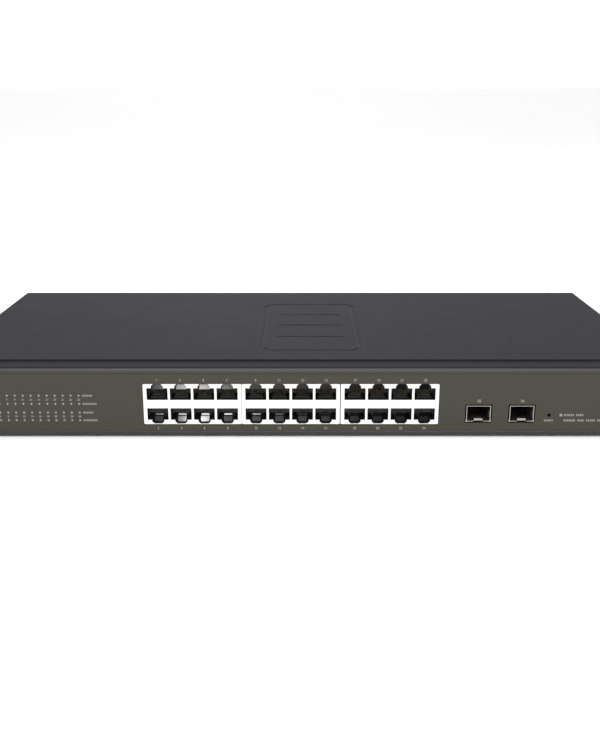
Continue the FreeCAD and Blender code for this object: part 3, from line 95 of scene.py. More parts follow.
class Shader(Nodes):
    """A new material with one Principled shader, and short ways to drive it."""

    def __init__(self, name, color, roughness, metallic=0.0, specular=0.5, coat=0.0):
        self.material = bpy.data.materials.new(name)
        self.material.use_nodes = True
        super().__init__(self.material.node_tree)
        self.bsdf = self.tree.nodes["Principled BSDF"]
        self.bsdf.inputs["Base Color"].default_value = (*color, 1)
        self.bsdf.inputs["Roughness"].default_value = roughness
        self.bsdf.inputs["Metallic"].default_value = metallic
        self.bsdf.inputs["Specular IOR Level"].default_value = specular
        self.bsdf.inputs["Coat Weight"].default_value = coat
        self.place = self.node("ShaderNodeTexCoord").outputs["Object"]

    def stretched(self, scale):
        """Object coordinates scaled along each axis."""
        mapping = self.node("ShaderNodeMapping")
        mapping.inputs["Scale"].default_value = scale
        self.link(self.place, mapping.inputs["Vector"])
        return mapping.outputs["Vector"]

    def noise(self, per_metre, detail=3.0, scale=None):
        """Noise with cells about 1/per_metre across."""
        made = self.node("ShaderNodeTexNoise")
        made.inputs["Scale"].default_value = per_metre
        made.inputs["Detail"].default_value = detail
        made.inputs["Roughness"].default_value = NOISE_ROUGHNESS
        self.link(self.stretched(scale) if scale else self.place, made.inputs["Vector"])
        return made.outputs["Fac"]

    def ramp(self, factor, low, high, first=(0, 0, 0), last=FULL_WHITE):
        """Runs from the first colour to the last while the factor runs from low to high."""
        made = self.node("ShaderNodeValToRGB")
        made.color_ramp.elements[0].position = low
        made.color_ramp.elements[1].position = high
        made.color_ramp.elements[0].color = (*first, 1)
        made.color_ramp.elements[1].color = (*last, 1)
        self.link(factor, made.inputs["Fac"])
        return made.outputs["Color"]

    def mix(self, factor, first, second):
        """Blends two colours, each a colour or a socket."""
        made = self.node("ShaderNodeMix", data_type="RGBA")
        self.link(factor, made.inputs["Factor"])
        for held, socket in ((first, made.inputs[6]), (second, made.inputs[7])):
            if isinstance(held, tuple):
                socket.default_value = (*held, 1)
            else:
                self.link(held, socket)
        return made.outputs[2]

    def axes(self):
        """The X, Y and Z of the place on the object."""
        return self.split(self.place)

    def face_normal(self):
        return self.node("ShaderNodeNewGeometry").outputs["Normal"]

    def normal_axes(self):
        """The X, Y and Z of the way the surface faces."""
        return self.split(self.face_normal())

    def rounded_normal(self, radius):
        bevel = self.node("ShaderNodeBevel", samples=BEVEL_SAMPLES)
        bevel.inputs["Radius"].default_value = radius
        return bevel.outputs["Normal"]

    def color(self, socket):
        self.link(socket, self.bsdf.inputs["Base Color"])

    def roughness(self, factor, low, high):
        self.link(self.map_range(factor, low, high), self.bsdf.inputs["Roughness"])

    def bump(self, heights, rounding=0.0):
        """Stacks bumps, each (height, depth in metres), over edges rounded by `rounding`."""
        normal = self.rounded_normal(rounding) if rounding else None
        for height, depth in heights:
            made = self.node("ShaderNodeBump")
            made.inputs["Strength"].default_value = 1.0
            made.inputs["Distance"].default_value = depth
            self.link(height, made.inputs["Height"])
            if normal is not None:
                self.link(normal, made.inputs["Normal"])
            normal = made.outputs["Normal"]
        self.link(normal, self.bsdf.inputs["Normal"])

    def edges(self, radius):
        """1 along sharp edges, 0 on flat faces."""
        dot = self.node("ShaderNodeVectorMath", operation="DOT_PRODUCT")
        self.link(self.rounded_normal(radius), dot.inputs[0])
        self.link(self.face_normal(), dot.inputs[1])
        return self.ramp(self.math("SUBTRACT", 1.0, dot.outputs["Value"]), RUB_AND_HIGHLIGHT_STARTS, RUB_AND_HIGHLIGHT_FULL)


def tint(color, by):
    """The colour made lighter or darker by a factor."""
    return tuple(min(1.0, part * by) for part in color)


# ---------------------------------------------------------------- materials


# width and lightening of the edges, which stand for rubbed wear and also for a painted highlight
RUBBED_HIGHLIGHT_WIDTH = 0.8 * MM
RUBBED_HIGHLIGHT_TONE = 5.0


def powder_coat(name, color):
    """Fine-textured baked paint on sheet steel, rubbed lighter along its edges: partly wear, partly a
    painted highlight.
    """
    s = Shader(name, color, 0.5, specular=0.02)
    grain = s.noise(2600, 2.0)
    blotch = s.noise(45, 4.0)
    tone = s.mix(s.ramp(blotch, 0.3, 0.7), tint(color, 0.93), tint(color, 1.07))
    tone = s.mix(s.ramp(grain, 0.42, 0.72), tone, tint(color, 1.3))
    # painted highlight along sharp edges, broken up in patches, also standing for rubbed wear
    wear_and_highlight = s.map_range(s.noise(160, 4.0), 0.35, 0.85)
    rubbed_and_highlit = s.math("MULTIPLY", s.edges(RUBBED_HIGHLIGHT_WIDTH), wear_and_highlight)
    s.color(s.mix(rubbed_and_highlit, tone, tint(color, RUBBED_HIGHLIGHT_TONE)))
    s.roughness(blotch, 0.45, 0.58)
    s.bump([(grain, 0.04 * MM), (s.noise(700, 2.0), 0.02 * MM)], rounding=0.35 * MM)
    return s.material


def moulded(name, color, roughness, grain_depth=0.03, specular=0.45):
    """Moulded plastic with a fine eroded texture and faint flow marks."""
    s = Shader(name, color, roughness, specular=specular)
    grain = s.noise(3000, 2.0)
    flow = s.noise(35, 3.0, scale=(0.25, 1, 1))
    s.color(s.mix(flow, tint(color, 0.92), tint(color, 1.08)))
    s.roughness(s.noise(240, 3.0), roughness - 0.06, roughness + 0.08)
    s.bump([(grain, grain_depth * MM)], rounding=0.2 * MM)
    return s.material


# how far the jack blocks' front stands before the middle of the case
SOCKET_FRONT = 104.5 * MM
PER_CENTIMETRE = 100


def socket_plastic(name):
    """Black insulator with painted light and shade: grey painted light on the upright walls deep
    inside, dark in front, and painted shade where it lies flat.
    """
    s = Shader(name, (0.045, 0.045, 0.046), 0.5, specular=0.3)
    # painted shade where the surface lies flat, painted light on the upright walls deep inside
    flat_painted_shade = s.ramp(s.math("ABSOLUTE", s.normal_axes()[2]), 0.6, 0.9)
    depth = s.math("ADD", s.axes()[1], SOCKET_FRONT)
    deep_painted_light = s.ramp(s.math("MULTIPLY", depth, PER_CENTIMETRE), 0.5, 0.8)
    upright = s.mix(deep_painted_light, (0.016, 0.016, 0.0165), (0.22, 0.22, 0.222))
    s.color(s.mix(flat_painted_shade, upright, (0.006, 0.006, 0.0065)))
    s.bump([(s.noise(3000, 2.0), 0.008 * MM)], rounding=0.1 * MM)
    return s.material


def printed_film(name, color):
    """Hard-coated film over reverse printing: even tone, fine satin grain."""
    s = Shader(name, color, 0.42, specular=0.35)
    satin = s.noise(5200, 1.0)
    drift = s.noise(18, 3.0)
    tone = s.mix(drift, tint(color, 0.965), tint(color, 1.035))
    s.color(s.mix(s.ramp(satin, 0.35, 0.75), tone, tint(color, 1.07)))
    s.roughness(satin, 0.38, 0.5)
    s.bump([(satin, 0.006 * MM), (s.noise(70, 2.0), 0.015 * MM)])
    return s.material


def sheet_metal(name, color, roughness, lines=(1, 30, 1)):
    """Bare or plated metal, with fine drawn lines where `lines` stretches the grain."""
    s = Shader(name, color, roughness, metallic=1.0)
    drawn = s.noise(900, 3.0, scale=lines)
    cloud = s.noise(140, 3.0)
    s.color(s.mix(cloud, tint(color, 0.82), tint(color, 1.08)))
    s.roughness(drawn, roughness - 0.08, roughness + 0.14)
    s.bump([(drawn, 0.012 * MM), (s.noise(320, 2.0), 0.02 * MM)], rounding=0.12 * MM)
    return s.material


def rubber(name):
    """Matt black rubber."""
    s = Shader(name, (0.018, 0.018, 0.018), 0.75, specular=0.3)
    s.color(s.mix(s.noise(300, 4.0), (0.012, 0.012, 0.012), (0.03, 0.03, 0.029)))
    s.bump([(s.noise(1800, 3.0), 0.05 * MM)], rounding=0.3 * MM)
    return s.material


def milky_lens(name):
    """Diffusing lamp lens, unlit."""
    s = Shader(name, (0.24, 0.24, 0.215), 0.3, specular=0.5)
    cloud = s.noise(900, 2.0)
    s.color(s.mix(cloud, (0.21, 0.21, 0.185), (0.28, 0.28, 0.25)))
    s.roughness(cloud, 0.22, 0.36)
    s.bump([(s.noise(500, 1.0), 0.02 * MM)], rounding=0.25 * MM)
    return s.material


def circuit_board(name):
    """Green solder mask over tracks, with bright round pads."""
    s = Shader(name, (0.01, 0.09, 0.04), 0.3, specular=0.5, coat=0.4)
    tracks = s.node("ShaderNodeTexBrick", offset=0.5, squash=1.0)
    tracks.inputs["Scale"].default_value = 240
    tracks.inputs["Mortar Size"].default_value = 0.06
    tracks.inputs["Mortar Smooth"].default_value = 0.1
    tracks.inputs["Brick Width"].default_value = 2.6
    tracks.inputs["Row Height"].default_value = 0.45
    s.link(s.place, tracks.inputs["Vector"])
    via = s.node("ShaderNodeTexVoronoi", feature="F1")
    via.inputs["Scale"].default_value = 330
    s.link(s.place, via.inputs["Vector"])
    copper = s.mix(tracks.outputs["Fac"], (0.008, 0.075, 0.035), (0.014, 0.14, 0.06))
    dots = s.ramp(via.outputs["Distance"], 0.10, 0.16, FULL_WHITE, (0, 0, 0))
    s.color(s.mix(dots, copper, (0.50, 0.40, 0.16)))
    s.bump([(tracks.outputs["Fac"], 0.02 * MM), (dots, 0.02 * MM)])
    return s.material


def heat_sink(name):
    """Extruded aluminium with lines along its fins."""
    s = Shader(name, (0.50, 0.51, 0.53), 0.35, metallic=1.0)
    lines = s.noise(1100, 2.0, scale=(1, 0.04, 1))
    s.color(s.mix(s.noise(90, 2.0), (0.44, 0.45, 0.47), (0.58, 0.59, 0.61)))
    s.roughness(lines, 0.28, 0.48)
    s.bump([(lines, 0.03 * MM)], rounding=0.15 * MM)
    return s.material


SLEEVE = (0.01, 0.012, 0.03)
STRIPE = (0.30, 0.32, 0.34)


def capacitor(name, axis):
    """Dark sleeve with a pale stripe; bare aluminium on the can's ends, which face along the axis."""
    s = Shader(name, SLEEVE, 0.35, specular=0.5)
    ends = s.math("ABSOLUTE", s.normal_axes()[axis])
    bare = s.ramp(ends, 0.8, 0.86)
    stripe = s.node("ShaderNodeTexWave", bands_direction="X")
    stripe.inputs["Scale"].default_value = 55
    s.link(s.place, stripe.inputs["Vector"])
    sleeve = s.mix(s.ramp(stripe.outputs["Fac"], 0.94, 0.97), SLEEVE, STRIPE)
    s.color(s.mix(bare, sleeve, (0.62, 0.62, 0.63)))
    s.link(bare, s.bsdf.inputs["Metallic"])
    s.bump([(s.noise(500, 2.0), 0.02 * MM)], rounding=0.5 * MM)
    return s.material


def chip_plastic(name):
    """Black epoxy with a fine grain and a lighter laser-dulled top."""
    s = Shader(name, (0.016, 0.016, 0.018), 0.5, specular=0.4)
    grain = s.noise(2200, 3.0)
    top = s.ramp(s.normal_axes()[2], 0.7, 0.9)
    s.color(s.mix(s.math("MULTIPLY", top, grain), (0.013, 0.013, 0.014), (0.05, 0.05, 0.052)))
    s.roughness(grain, 0.42, 0.6)
    s.bump([(grain, 0.02 * MM)], rounding=0.2 * MM)
    return s.material


CHOKE_TURNS = 34.0


def wound_ring(name, node):
    """Copper turns over a green ring core, counted round its own middle."""
    low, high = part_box(node)
    middle = (low + high) / 2
    s = Shader(name, (0.35, 0.12, 0.04), 0.3, specular=0.5, coat=0.3)
    x, y, _ = s.axes()
    angle = s.math("ARCTAN2", s.math("SUBTRACT", y, middle.y), s.math("SUBTRACT", x, middle.x))
    turns = s.math("SINE", s.math("MULTIPLY", angle, CHOKE_TURNS))
    wound = s.ramp(s.math("ABSOLUTE", s.math("COSINE", angle)), 0.18, 0.2)
    wire = s.mix(s.ramp(turns, 0.2, 0.8), (0.20, 0.06, 0.02), (0.62, 0.24, 0.08))
    s.color(s.mix(wound, (0.02, 0.13, 0.06), wire))
    s.bump([(turns, 0.25 * MM)])
    return s.material


# the tape reaches this far from the middle along Y, and this high over the transformer's foot
TAPE_REACH = 8.05 * MM
TAPE_HIGH = 18.05 * MM


def transformer_look(name, node):
    """Yellow tape round the winding, dark ferrite for the core's ends."""
    low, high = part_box(node)
    middle = (low + high) / 2
    s = Shader(name, (0.62, 0.42, 0.06), 0.4)
    _, y, z = s.axes()
    off = s.math("ABSOLUTE", s.math("SUBTRACT", y, middle.y))
    core = s.math("GREATER_THAN", off, TAPE_REACH)
    above = s.math("GREATER_THAN", z, low.z + TAPE_HIGH)
    ferrite = s.math("MAXIMUM", core, above)
    wraps = s.noise(260, 2.0, scale=(0.1, 0.1, 6))
    tape = s.mix(wraps, (0.50, 0.33, 0.04), (0.74, 0.53, 0.10))
    s.color(s.mix(ferrite, tape, (0.035, 0.034, 0.036)))
    s.bump([(wraps, 0.05 * MM)], rounding=0.3 * MM)
    return s.material


def insulation(name, colors, first, pitch):
    """Smooth wire insulation; wires side by side along X take one colour each."""
    s = Shader(name, colors[0], 0.32, specular=0.5)
    tone = colors[0]
    if len(colors) > 1:
        wire = s.math("FLOOR", s.math("DIVIDE", s.math("SUBTRACT", s.axes()[0], first), pitch))
        for step, color in enumerate(colors[1:], start=1):
            tone = s.mix(s.math("GREATER_THAN", wire, step - 0.5), tone, color)
        s.color(tone)
    s.bump([(s.noise(400, 2.0), 0.02 * MM)])
    return s.material


def yellow_box(name):
    """Moulded case of a film capacitor."""
    s = Shader(name, (0.66, 0.42, 0.03), 0.4, specular=0.5)
    s.color(s.mix(s.noise(60, 3.0), (0.60, 0.37, 0.02), (0.74, 0.50, 0.05)))
    s.bump([(s.noise(900, 3.0), 0.03 * MM)], rounding=0.5 * MM)
    return s.material


def clear_sheet(name):
    """Pale insulating sheet, a little wavy."""
    s = Shader(name, (0.62, 0.60, 0.52), 0.25, specular=0.5)
    s.color(s.mix(s.noise(50, 3.0), (0.58, 0.56, 0.48), (0.70, 0.68, 0.60)))
    s.bump([(s.noise(60, 2.0), 0.1 * MM)])
    return s.material


CASE_GREY = (0.0215, 0.0210, 0.0232)
BEZEL_GREY = (0.036, 0.034, 0.0348)
FILM_OLIVE = (0.0330, 0.0316, 0.0200)
PRINT_GREY = (0.26, 0.26, 0.24)

steel = powder_coat("powder_coated_steel", CASE_GREY)
nickel = sheet_metal("nickel_plated_sheet", (0.36, 0.355, 0.325), 0.36)
zinc = sheet_metal("zinc_plated_steel", (0.62, 0.62, 0.60), 0.32, (1, 1, 1))
black_steel = sheet_metal("black_oxide_steel", (0.05, 0.05, 0.052), 0.38, (1, 1, 1))
gold = sheet_metal("gold_plated_wire", (0.82, 0.72, 0.54), 0.45)
white = moulded("white_plastic", (0.78, 0.78, 0.765), 0.3, 0.01)
black = moulded("black_plastic", (0.012, 0.012, 0.013), 0.38, 0.02)
socket_black = socket_plastic("socket_plastic")

LOOKS = {
    steel: ("base_pan", "top_cover", "rack_ear_left", "rack_ear_right"),
    moulded("bezel_plastic", BEZEL_GREY, 0.46, specular=0.28): ("front_bezel",),
    printed_film("olive_film", FILM_OLIVE): ("front_film",),
    rubber("foot_rubber"): ("feet",),
    white: (
        "port_plate_left",
        "port_plate_middle",
        "port_plate_right",
        "supply_output_connector",
        "board_power_connector",
        "fan_connector",
    ),
    socket_black: ("jack_block_left", "jack_block_middle", "jack_block_right"),
    black: (
        "sfp_connectors",
        "lamp_holders",
        "reset_switch_body",
        "power_inlet",
        "fan_frame",
        "fan_rotor",
    ),
    moulded("button_plastic", (0.03, 0.03, 0.03), 0.4): ("reset_button",),
    chip_plastic("chip_epoxy"): (
        "magnetics",
        "switch_chip",
        "phy_chips",
        "memory_chips",
        "board_inductors",
        "supply_semiconductors",
    ),
    gold: ("jack_contacts_left", "jack_contacts_middle", "jack_contacts_right"),
    nickel: ("sfp_cage_left", "sfp_cage_right", "power_inlet_pins", "board_standoffs"),
    milky_lens("lamp_lens"): ("lamp_lenses",),
    circuit_board("green_laminate"): ("main_board", "supply_board"),
    clear_sheet("insulating_sheet"): ("supply_insulator",),
    black_steel: ("cover_screws", "ear_screws"),
    zinc: ("bezel_screws", "board_screws", "fan_screws", "ground_screw", "inlet_screws"),
    heat_sink("extruded_aluminium"): ("switch_heatsink", "phy_heatsinks", "supply_heatsinks"),
    capacitor("capacitor_upright", 2): ("board_capacitors", "supply_output_capacitors"),
    capacitor("capacitor_lying", 1): ("supply_bulk_capacitor",),
    yellow_box("filter_capacitor"): ("supply_filter_capacitors",),
    wound_ring("wound_choke", "supply_choke"): ("supply_choke",),
    transformer_look("taped_transformer", "supply_transformer"): ("supply_transformer",),
}


def lead_material(name, node, colors):
    """Insulation in these colours, one for each wire side by side in the node."""
    low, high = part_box(node)
    return insulation(name, colors, low.x, (high.x - low.x) / len(colors))


RED, BLACK = (0.45, 0.02, 0.015), (0.012, 0.012, 0.012)
BROWN, GREEN, BLUE = (0.12, 0.04, 0.015), (0.05, 0.25, 0.03), (0.02, 0.06, 0.35)
LOOKS[lead_material("supply_lead_wires", "supply_lead", [RED, BLACK])] = ("supply_lead",)
LOOKS[lead_material("mains_wires", "mains_leads", [BROWN, GREEN, BLUE])] = ("mains_leads",)
LOOKS[insulation("fan_wires", [RED], 0, 1)] = ("fan_lead",)


def dress(node, material):
    """Gives a carried CAD node its one material."""
    held = nodes[node].data
    held.materials.clear()
    held.materials.append(material)
    for face in held.polygons:
        face.material_index = 0


for material, names in LOOKS.items():
    for name in names:
        dress(name, material)


# ---------------------------------------------------------------- printed legends

film_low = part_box("front_film")[0]
# the print stands this far before the film, and is this thick
PRINT_OUT = 0.02 * MM
INK = 0.03 * MM
PRINT_FRONT = film_low.y - PRINT_OUT
# type size and thickening of the strokes, for a numeral one unit high
TYPE_SIZE = 1.4
TYPE_WEIGHT = 0.035
CURVE_STEPS = 3
BOX_FACES = [(0, 1, 2, 3), (7, 6, 5, 4), (0, 4, 5, 1), (1, 5, 6, 2), (2, 6, 7, 3), (3, 7, 4, 0)]


def ink(name):
    """Pale screen-printed ink, slightly uneven."""
    s = Shader(name, PRINT_GREY, 0.5, specular=0.3)
    s.color(s.mix(s.noise(1500, 3.0), tint(PRINT_GREY, 0.8), tint(PRINT_GREY, 1.15)))
    s.bump([(s.noise(2500, 2.0), 0.01 * MM)])
    return s.material


INK_PALE = ink("screen_print")


def placed(name, held):
    """A new object in the scene, with this mesh, curve, light or camera."""
    made = bpy.data.objects.new(name, held)
    bpy.context.scene.collection.objects.link(made)
    return made


def number(text, x, z, high, name):
    """A printed numeral on the film, centred at x, z."""
    curve = bpy.data.curves.new(name, "FONT")
    curve.body = text
    curve.align_x = "CENTER"
    curve.align_y = "CENTER"
    curve.size = high * TYPE_SIZE
    curve.extrude = INK / 2
    curve.offset = high * TYPE_WEIGHT
    curve.resolution_u = CURVE_STEPS
    made = placed(name, curve)
    graph = bpy.context.evaluated_depsgraph_get()
    mesh = bpy.data.meshes.new_from_object(made.evaluated_get(graph))
    bpy.data.objects.remove(made)
    upright = Matrix.Rotation(math.pi / 2, 4, "X")
    mesh.transform(Matrix.Translation((x, PRINT_FRONT + INK / 2, z)) @ upright)
    return placed(name, mesh)


def bars(spots, name):
    """Printed bars on the film, each (left, low, wide, high)."""
    verts, faces = [], []
    for left, low, wide, high in spots:
        start = len(verts)
        right, top = left + wide, low + high
        for y in (PRINT_FRONT, PRINT_FRONT + INK):
            verts += [(left, y, low), (right, y, low), (right, y, top), (left, y, top)]
        faces += [[start + i for i in face] for face in BOX_FACES]
    mesh = bpy.data.meshes.new(name)
    mesh.from_pydata(verts, [], faces)
    return placed(name, mesh)


def join(parts, name, material):
    """Joins printed parts into one piece on the case."""
    first = parts[0]
    with bpy.context.temp_override(
        active_object=first, object=first, selected_editable_objects=parts, selected_objects=parts
    ):
        bpy.ops.object.join()
    first.name = name
    first.data.name = name
    first.data.materials.clear()
    first.data.materials.append(material)
    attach(first, BODY)


def middle_of(node):
    """The middle of a node's box."""
    low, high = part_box(node)
    return (low + high) / 2


PORT_PITCH = 13.97 * MM
BLOCK_COLUMNS = 4
BLOCKS = [middle_of(f"port_plate_{word}") for word in ("left", "middle", "right")]
CAGES = [middle_of(f"sfp_cage_{word}") for word in ("left", "right")]
block_low, block_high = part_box("port_plate_left")


PORT_NUMBER_HIGH = 1.5 * MM
# the middles of the port numbers stand this far over and under the jack plates
NUMBER_OVER = 2.4 * MM
NUMBER_UNDER = 2.5 * MM
FIRST_CAGE_PORT = 25
CAGE_NUMBER_Z = 23.1 * MM
CAGE_NUMBER_HIGH = 1.6 * MM


def socket_columns():
    """The block and the X of each column of sockets, from the left."""
    for block in BLOCKS:
        for column in range(BLOCK_COLUMNS):
            yield block, block.x + (column - (BLOCK_COLUMNS - 1) / 2) * PORT_PITCH


def port_numbers():
    """Odd numbers over the upper sockets, even ones under the lower, then the fibre cages."""
    parts = []
    over, under = block_high.z + NUMBER_OVER, block_low.z - NUMBER_UNDER
    for count, (_, x) in enumerate(socket_columns()):
        odd = 2 * count + 1
        parts.append(number(str(odd), x, over, PORT_NUMBER_HIGH, f"n{odd}"))
        parts.append(number(str(odd + 1), x, under, PORT_NUMBER_HIGH, f"n{odd + 1}"))
    for port, cage in enumerate(CAGES, start=FIRST_CAGE_PORT):
        parts.append(number(str(port), cage.x, CAGE_NUMBER_Z, CAGE_NUMBER_HIGH, f"n{port}"))
    join(parts, "port_numbers", INK_PALE)


LAMP_PITCH = 4.776 * MM
LAMP_COLUMNS = 13
lens_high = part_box("lamp_lenses")[1]
# the last column of lamp numbers stands this far inside the lenses' right end
NUMBER_INSET = 0.75 * MM
LAST_LAMP = lens_high.x - NUMBER_INSET
LAMP_NUMBER_HIGH = 1.25 * MM
# heights of the odd and the even lamp numbers
ODD_LAMP_Z = 23.9 * MM
EVEN_LAMP_Z = 13.3 * MM


def lamp_numbers():
    """Odd numbers between the upper two rows of lamps, even ones between the lower two."""
    parts = []
    for column in range(LAMP_COLUMNS):
        x = LAST_LAMP - (LAMP_COLUMNS - 1 - column) * LAMP_PITCH
        odd = 2 * column + 1
        parts.append(number(str(odd), x, ODD_LAMP_Z, LAMP_NUMBER_HIGH, f"a{column}"))
        parts.append(number(str(odd + 1), x, EVEN_LAMP_Z, LAMP_NUMBER_HIGH, f"b{column}"))
    join(parts, "lamp_numbers", INK_PALE)


# The plain marks are in millimetres. A dash covers this part of its pitch.
DASH_PITCH = 1.1
DASH_PART = 0.62
SMALL_DASH, TALL_DASH = 1.15, 1.3
# right of the lamps: (height, length) of each row
LAMP_WORDS_LEFT = 2.3
LAMP_WORDS = [(26.5, 6.2), (21.3, 8.6), (15.8, 6.2), (10.9, 8.6)]
# under the reset hole: place from the hole, length and height of the row
RESET_WORD = (-2.8, 5.6, 10.8)
# right of the reset hole: place from the hole and length of each row, on an upper and a lower line
UPPER_LINE_Z, LOWER_LINE_Z = 14.2, 10.8
UPPER_WORDS = [(9.0, 6.4), (16.4, 4.6)]
LOWER_WORDS = [(9.0, 7.2), (17.4, 4.0), (22.6, 5.6), (29.4, 9.6), (40.2, 8.4)]
# the square: place from the reset hole, height of its foot, and side
SQUARE = (6.4, 13.4, 1.6)


def dashes(left, middle_z, wide, high):
    """A row of upright dashes as long as a printed word."""
    count = max(2, round(wide / DASH_PITCH))
    pitch = wide / count
    return [
        ((left + i * pitch) * MM, (middle_z - high / 2) * MM, DASH_PART * pitch * MM, high * MM)
        for i in range(count)
    ]


def plain_marks():
    """Rows of plain dashes and a square in place of the words beside the lamps and the reset hole."""
    spots = []
    lamps_end = LAST_LAMP / MM
    for z, wide in LAMP_WORDS:
        spots += dashes(lamps_end + LAMP_WORDS_LEFT, z, wide, SMALL_DASH)
    reset = middle_of("reset_button").x / MM
    left, wide, z = RESET_WORD
    spots += dashes(reset + left, z, wide, SMALL_DASH)
    left, foot, side = SQUARE
    spots.append(((reset + left) * MM, foot * MM, side * MM, side * MM))
    for line_z, words in ((UPPER_LINE_Z, UPPER_WORDS), (LOWER_LINE_Z, LOWER_WORDS)):
        for left, wide in words:
            spots += dashes(reset + left, line_z, wide, TALL_DASH)
    join([bars(spots, "rules")], "plain_marks", INK_PALE)


port_numbers()
lamp_numbers()
plain_marks()


# ---------------------------------------------------------------- latch springs

UPPER, LOWER = 1, -1
# thickness of the sheet, in millimetres
SPRING_THICK = 0.2

# (depth behind the plate, rise from the block's middle, half the width), in millimetres
UPPER_LEAF = [(3.4, 12.3, 2.2), (4.0, 11.7, 2.4), (4.9, 7.8, 3.3), (5.6, 7.5, 3.3)]
LOWER_LEAF = [(3.4, 12.2, 2.1), (3.7, 11.7, 2.5), (5.4, 9.2, 2.6), (6.3, 8.9, 2.5)]
LOWER_LIP = [(6.3, 8.9, 2.5), (6.7, 8.1, 2.2), (7.4, 8.1, 2.2)]


def ribbon(line, middle_x, middle_z, up, face_y):
    """A closed strip bent through (depth, rise, half width) points, one sheet thick."""
    verts, faces = [], []
    for side in (-1, 1):
        for shift in (0, SPRING_THICK):
            for depth, rise, half in line:
                y = face_y + (depth + shift) * MM
                verts.append((middle_x + side * half * MM, y, middle_z + up * rise * MM))
    count = len(line)
    # first points of the left front, left back, right front and right back edge
    left_front, left_back, right_front, right_back = [count * edge for edge in range(4)]
    for start, other in ((left_front, right_front), (right_back, left_back)):
        for i in range(count - 1):
            faces.append((start + i, other + i, other + i + 1, start + i + 1))
    for start, other in ((left_front, left_back), (right_back, right_front)):
        for i in range(count - 1):
            faces.append((start + i, start + i + 1, other + i + 1, other + i))
    for end in (0, count - 1):
        loop = (left_front + end, left_back + end, right_back + end, right_front + end)
        faces.append(loop if end == 0 else tuple(reversed(loop)))
    return verts, faces


# Columns of sockets are counted from 0 at the left. These are the middle and the spread of the sheet
# that isn't darkened by painted shade.
UNSHADED_COLUMN, UNSHADED_SPREAD = 2.5, 5.0
PER_25_MM = 40


def sprung_tin(name, column, spread, dull, bright):
    """Tinned spring sheet with a painted highlight at one column of sockets, lighter low on the upper
    leaves, in a dull tone around it that falls into painted shade further away.
    """
    s = Shader(name, (bright, bright, bright), 0.3, metallic=1.0)
    x, _, z = s.axes()
    block_middle = (BLOCK_COLUMNS - 1) / 2
    off = s.math("DIVIDE", s.math("SUBTRACT", x, BLOCKS[0].x), PORT_PITCH)
    near = s.math("DIVIDE", s.math("SUBTRACT", off, column - block_middle), spread)
    wide = s.math("DIVIDE", s.math("SUBTRACT", off, UNSHADED_COLUMN - block_middle), UNSHADED_SPREAD)
    # painted highlight: a bell across the columns, centred on the given column
    highlight_bell = s.math("POWER", math.exp(-1), s.math("MULTIPLY", near, near))
    unshaded_part = s.math("POWER", math.exp(-1), s.math("MULTIPLY", wide, wide))
    # painted highlight: lighter on the lower part of the upper leaves than high on them
    rise = s.math("MULTIPLY", s.math("SUBTRACT", z, BLOCKS[0].z), PER_25_MM)
    lower_part_highlight = s.ramp(rise, 0.37, 0.49, FULL_WHITE, (0.3, 0.3, 0.3))
    stain = s.map_range(s.noise(420, 4.0), 0.75, 1.1)
    painted_highlight = s.math("MULTIPLY", s.math("MULTIPLY", highlight_bell, stain), lower_part_highlight)
    # painted shade: the dull tone falls to near black away from the unshaded middle column
    tarnish_and_shade = s.mix(unshaded_part, (0.004, 0.004, 0.004), (dull, dull, dull * 0.97))
    s.color(s.mix(painted_highlight, tarnish_and_shade, (bright, bright, bright * 0.98)))
    s.roughness(s.noise(900, 2.0, scale=(1, 8, 8)), 0.22, 0.4)
    s.bump([(s.noise(1200, 2.0), 0.01 * MM)], rounding=0.1 * MM)
    return s.material


def latch_springs(name, row, line, material):
    """Sprung strip behind the latch notch of each socket in the UPPER or LOWER row."""
    verts, faces = [], []
    for block, x in socket_columns():
        more, quads = ribbon(line, x, block.z, row, block_low.y)
        faces += [tuple(i + len(verts) for i in quad) for quad in quads]
        verts += more
    mesh = bpy.data.meshes.new(name)
    mesh.from_pydata(verts, [], faces)
    piece = placed(name, mesh)
    bpy.context.view_layer.objects.active = piece
    bpy.ops.object.select_all(action="DESELECT")
    piece.select_set(True)
    bpy.ops.object.mode_set(mode="EDIT")
    bpy.ops.mesh.select_all(action="SELECT")
    bpy.ops.mesh.normals_make_consistent(inside=False)
    bpy.ops.object.mode_set(mode="OBJECT")
    for face in mesh.polygons:
        face.use_smooth = False
    mesh.materials.append(material)
    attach(piece, BODY)


# the springs' painted highlights: column and spread place each one, dull and bright are its tones
upper_tin = sprung_tin("tin_upper_painted_highlight", column=1.6, spread=1.1, dull=0.055, bright=0.5)
lower_tin = sprung_tin("tin_lower_painted_highlight", column=1.65, spread=0.6, dull=0.02, bright=0.33)
lip_tin = sprung_tin("tin_lip_painted_highlight", column=2.2, spread=1.9, dull=0.03, bright=0.85)
latch_springs("upper_latch_springs", UPPER, UPPER_LEAF, upper_tin)
latch_springs("lower_latch_springs", LOWER, LOWER_LEAF, lower_tin)
latch_springs("lower_latch_lips", LOWER, LOWER_LIP, lip_tin)


# ---------------------------------------------------------------- studio

FLOOR_SIZE = 160
# The surroundings are strongest straight ahead and behind, and fall off to the sides. The two
# places are parts of the direction's X.
STRONG, WEAK = 1.7, 1.02
OFF_CENTRE, FALL_OFF = 0.05, 0.34
# They are dimmed to this part overhead, between these two parts of the direction's Z.
OVERHEAD_PART = 0.84
DIMMING_STARTS, DIMMING_ENDS = 0.1, 0.2
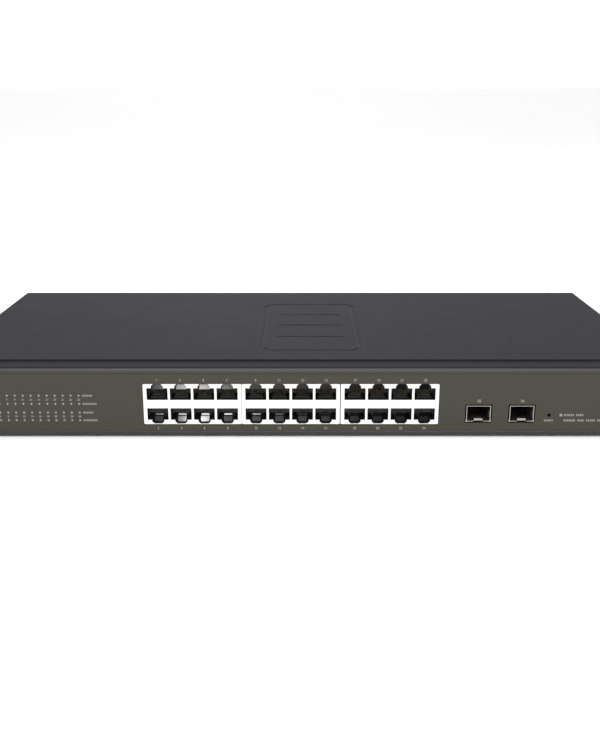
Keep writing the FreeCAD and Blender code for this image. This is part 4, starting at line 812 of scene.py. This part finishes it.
# (place, aim, width, height, watts)
OVERHEAD_BOX = ((0, 0.1, 1.5), (0, 0, 0), 1.4, 1.0, 10)
FRONT_BOX = ((0.15, -1.3, 1.5), (0, -0.15, 0), 1.1, 0.8, 15)
CAMERA_PLACE = (0, -636.9 * MM, 204.2 * MM)
CAMERA_DOWN = 16.58
FOCAL_LENGTH, SENSOR_WIDTH = 46.24, 36


def backdrop():
    """Plain pale floor."""
    bpy.ops.mesh.primitive_plane_add(size=FLOOR_SIZE)
    floor = bpy.context.object
    floor.name = "floor"
    s = Shader("pale_floor", (0.97, 0.97, 0.97), 0.6, specular=0.2)
    s.color(s.mix(s.noise(3, 3.0), (0.96, 0.96, 0.96), (0.98, 0.98, 0.98)))
    floor.data.materials.append(s.material)


def softbox(name, at, toward, wide, high, watts):
    """A white rectangle of light."""
    light = bpy.data.lights.new(name, "AREA")
    light.shape = "RECTANGLE"
    light.size = wide
    light.size_y = high
    light.energy = watts
    made = placed(name, light)
    made.location = at
    made.rotation_euler = (Vector(toward) - Vector(at)).to_track_quat("-Z", "Y").to_euler()


def studio():
    """White surroundings and two softboxes."""
    world = bpy.data.worlds.new("studio")
    bpy.context.scene.world = world
    world.use_nodes = True
    sky = Nodes(world.node_tree)
    x, _, z = sky.split(sky.node("ShaderNodeTexCoord").outputs["Generated"])
    aside = sky.math("ABSOLUTE", sky.math("ADD", x, OFF_CENTRE))
    glow = sky.map_range(aside, STRONG, WEAK, end=FALL_OFF, steps="SMOOTHSTEP")
    dimming = sky.map_range(z, 1.0, OVERHEAD_PART, DIMMING_STARTS, DIMMING_ENDS)
    background = world.node_tree.nodes["Background"]
    background.inputs["Color"].default_value = (*FULL_WHITE, 1)
    sky.link(sky.math("MULTIPLY", glow, dimming), background.inputs["Strength"])
    softbox("overhead", *OVERHEAD_BOX)
    softbox("front_above", *FRONT_BOX)


def camera():
    """Square to the front panel and a little above it."""
    lens = bpy.data.cameras.new("camera")
    lens.lens = FOCAL_LENGTH
    lens.sensor_width = SENSOR_WIDTH
    made = placed("camera", lens)
    made.location = CAMERA_PLACE
    made.rotation_euler = (math.radians(90 - CAMERA_DOWN), 0, 0)
    bpy.context.scene.camera = made


backdrop()
studio()
camera()
bpy.context.scene.view_settings.view_transform = "Standard"
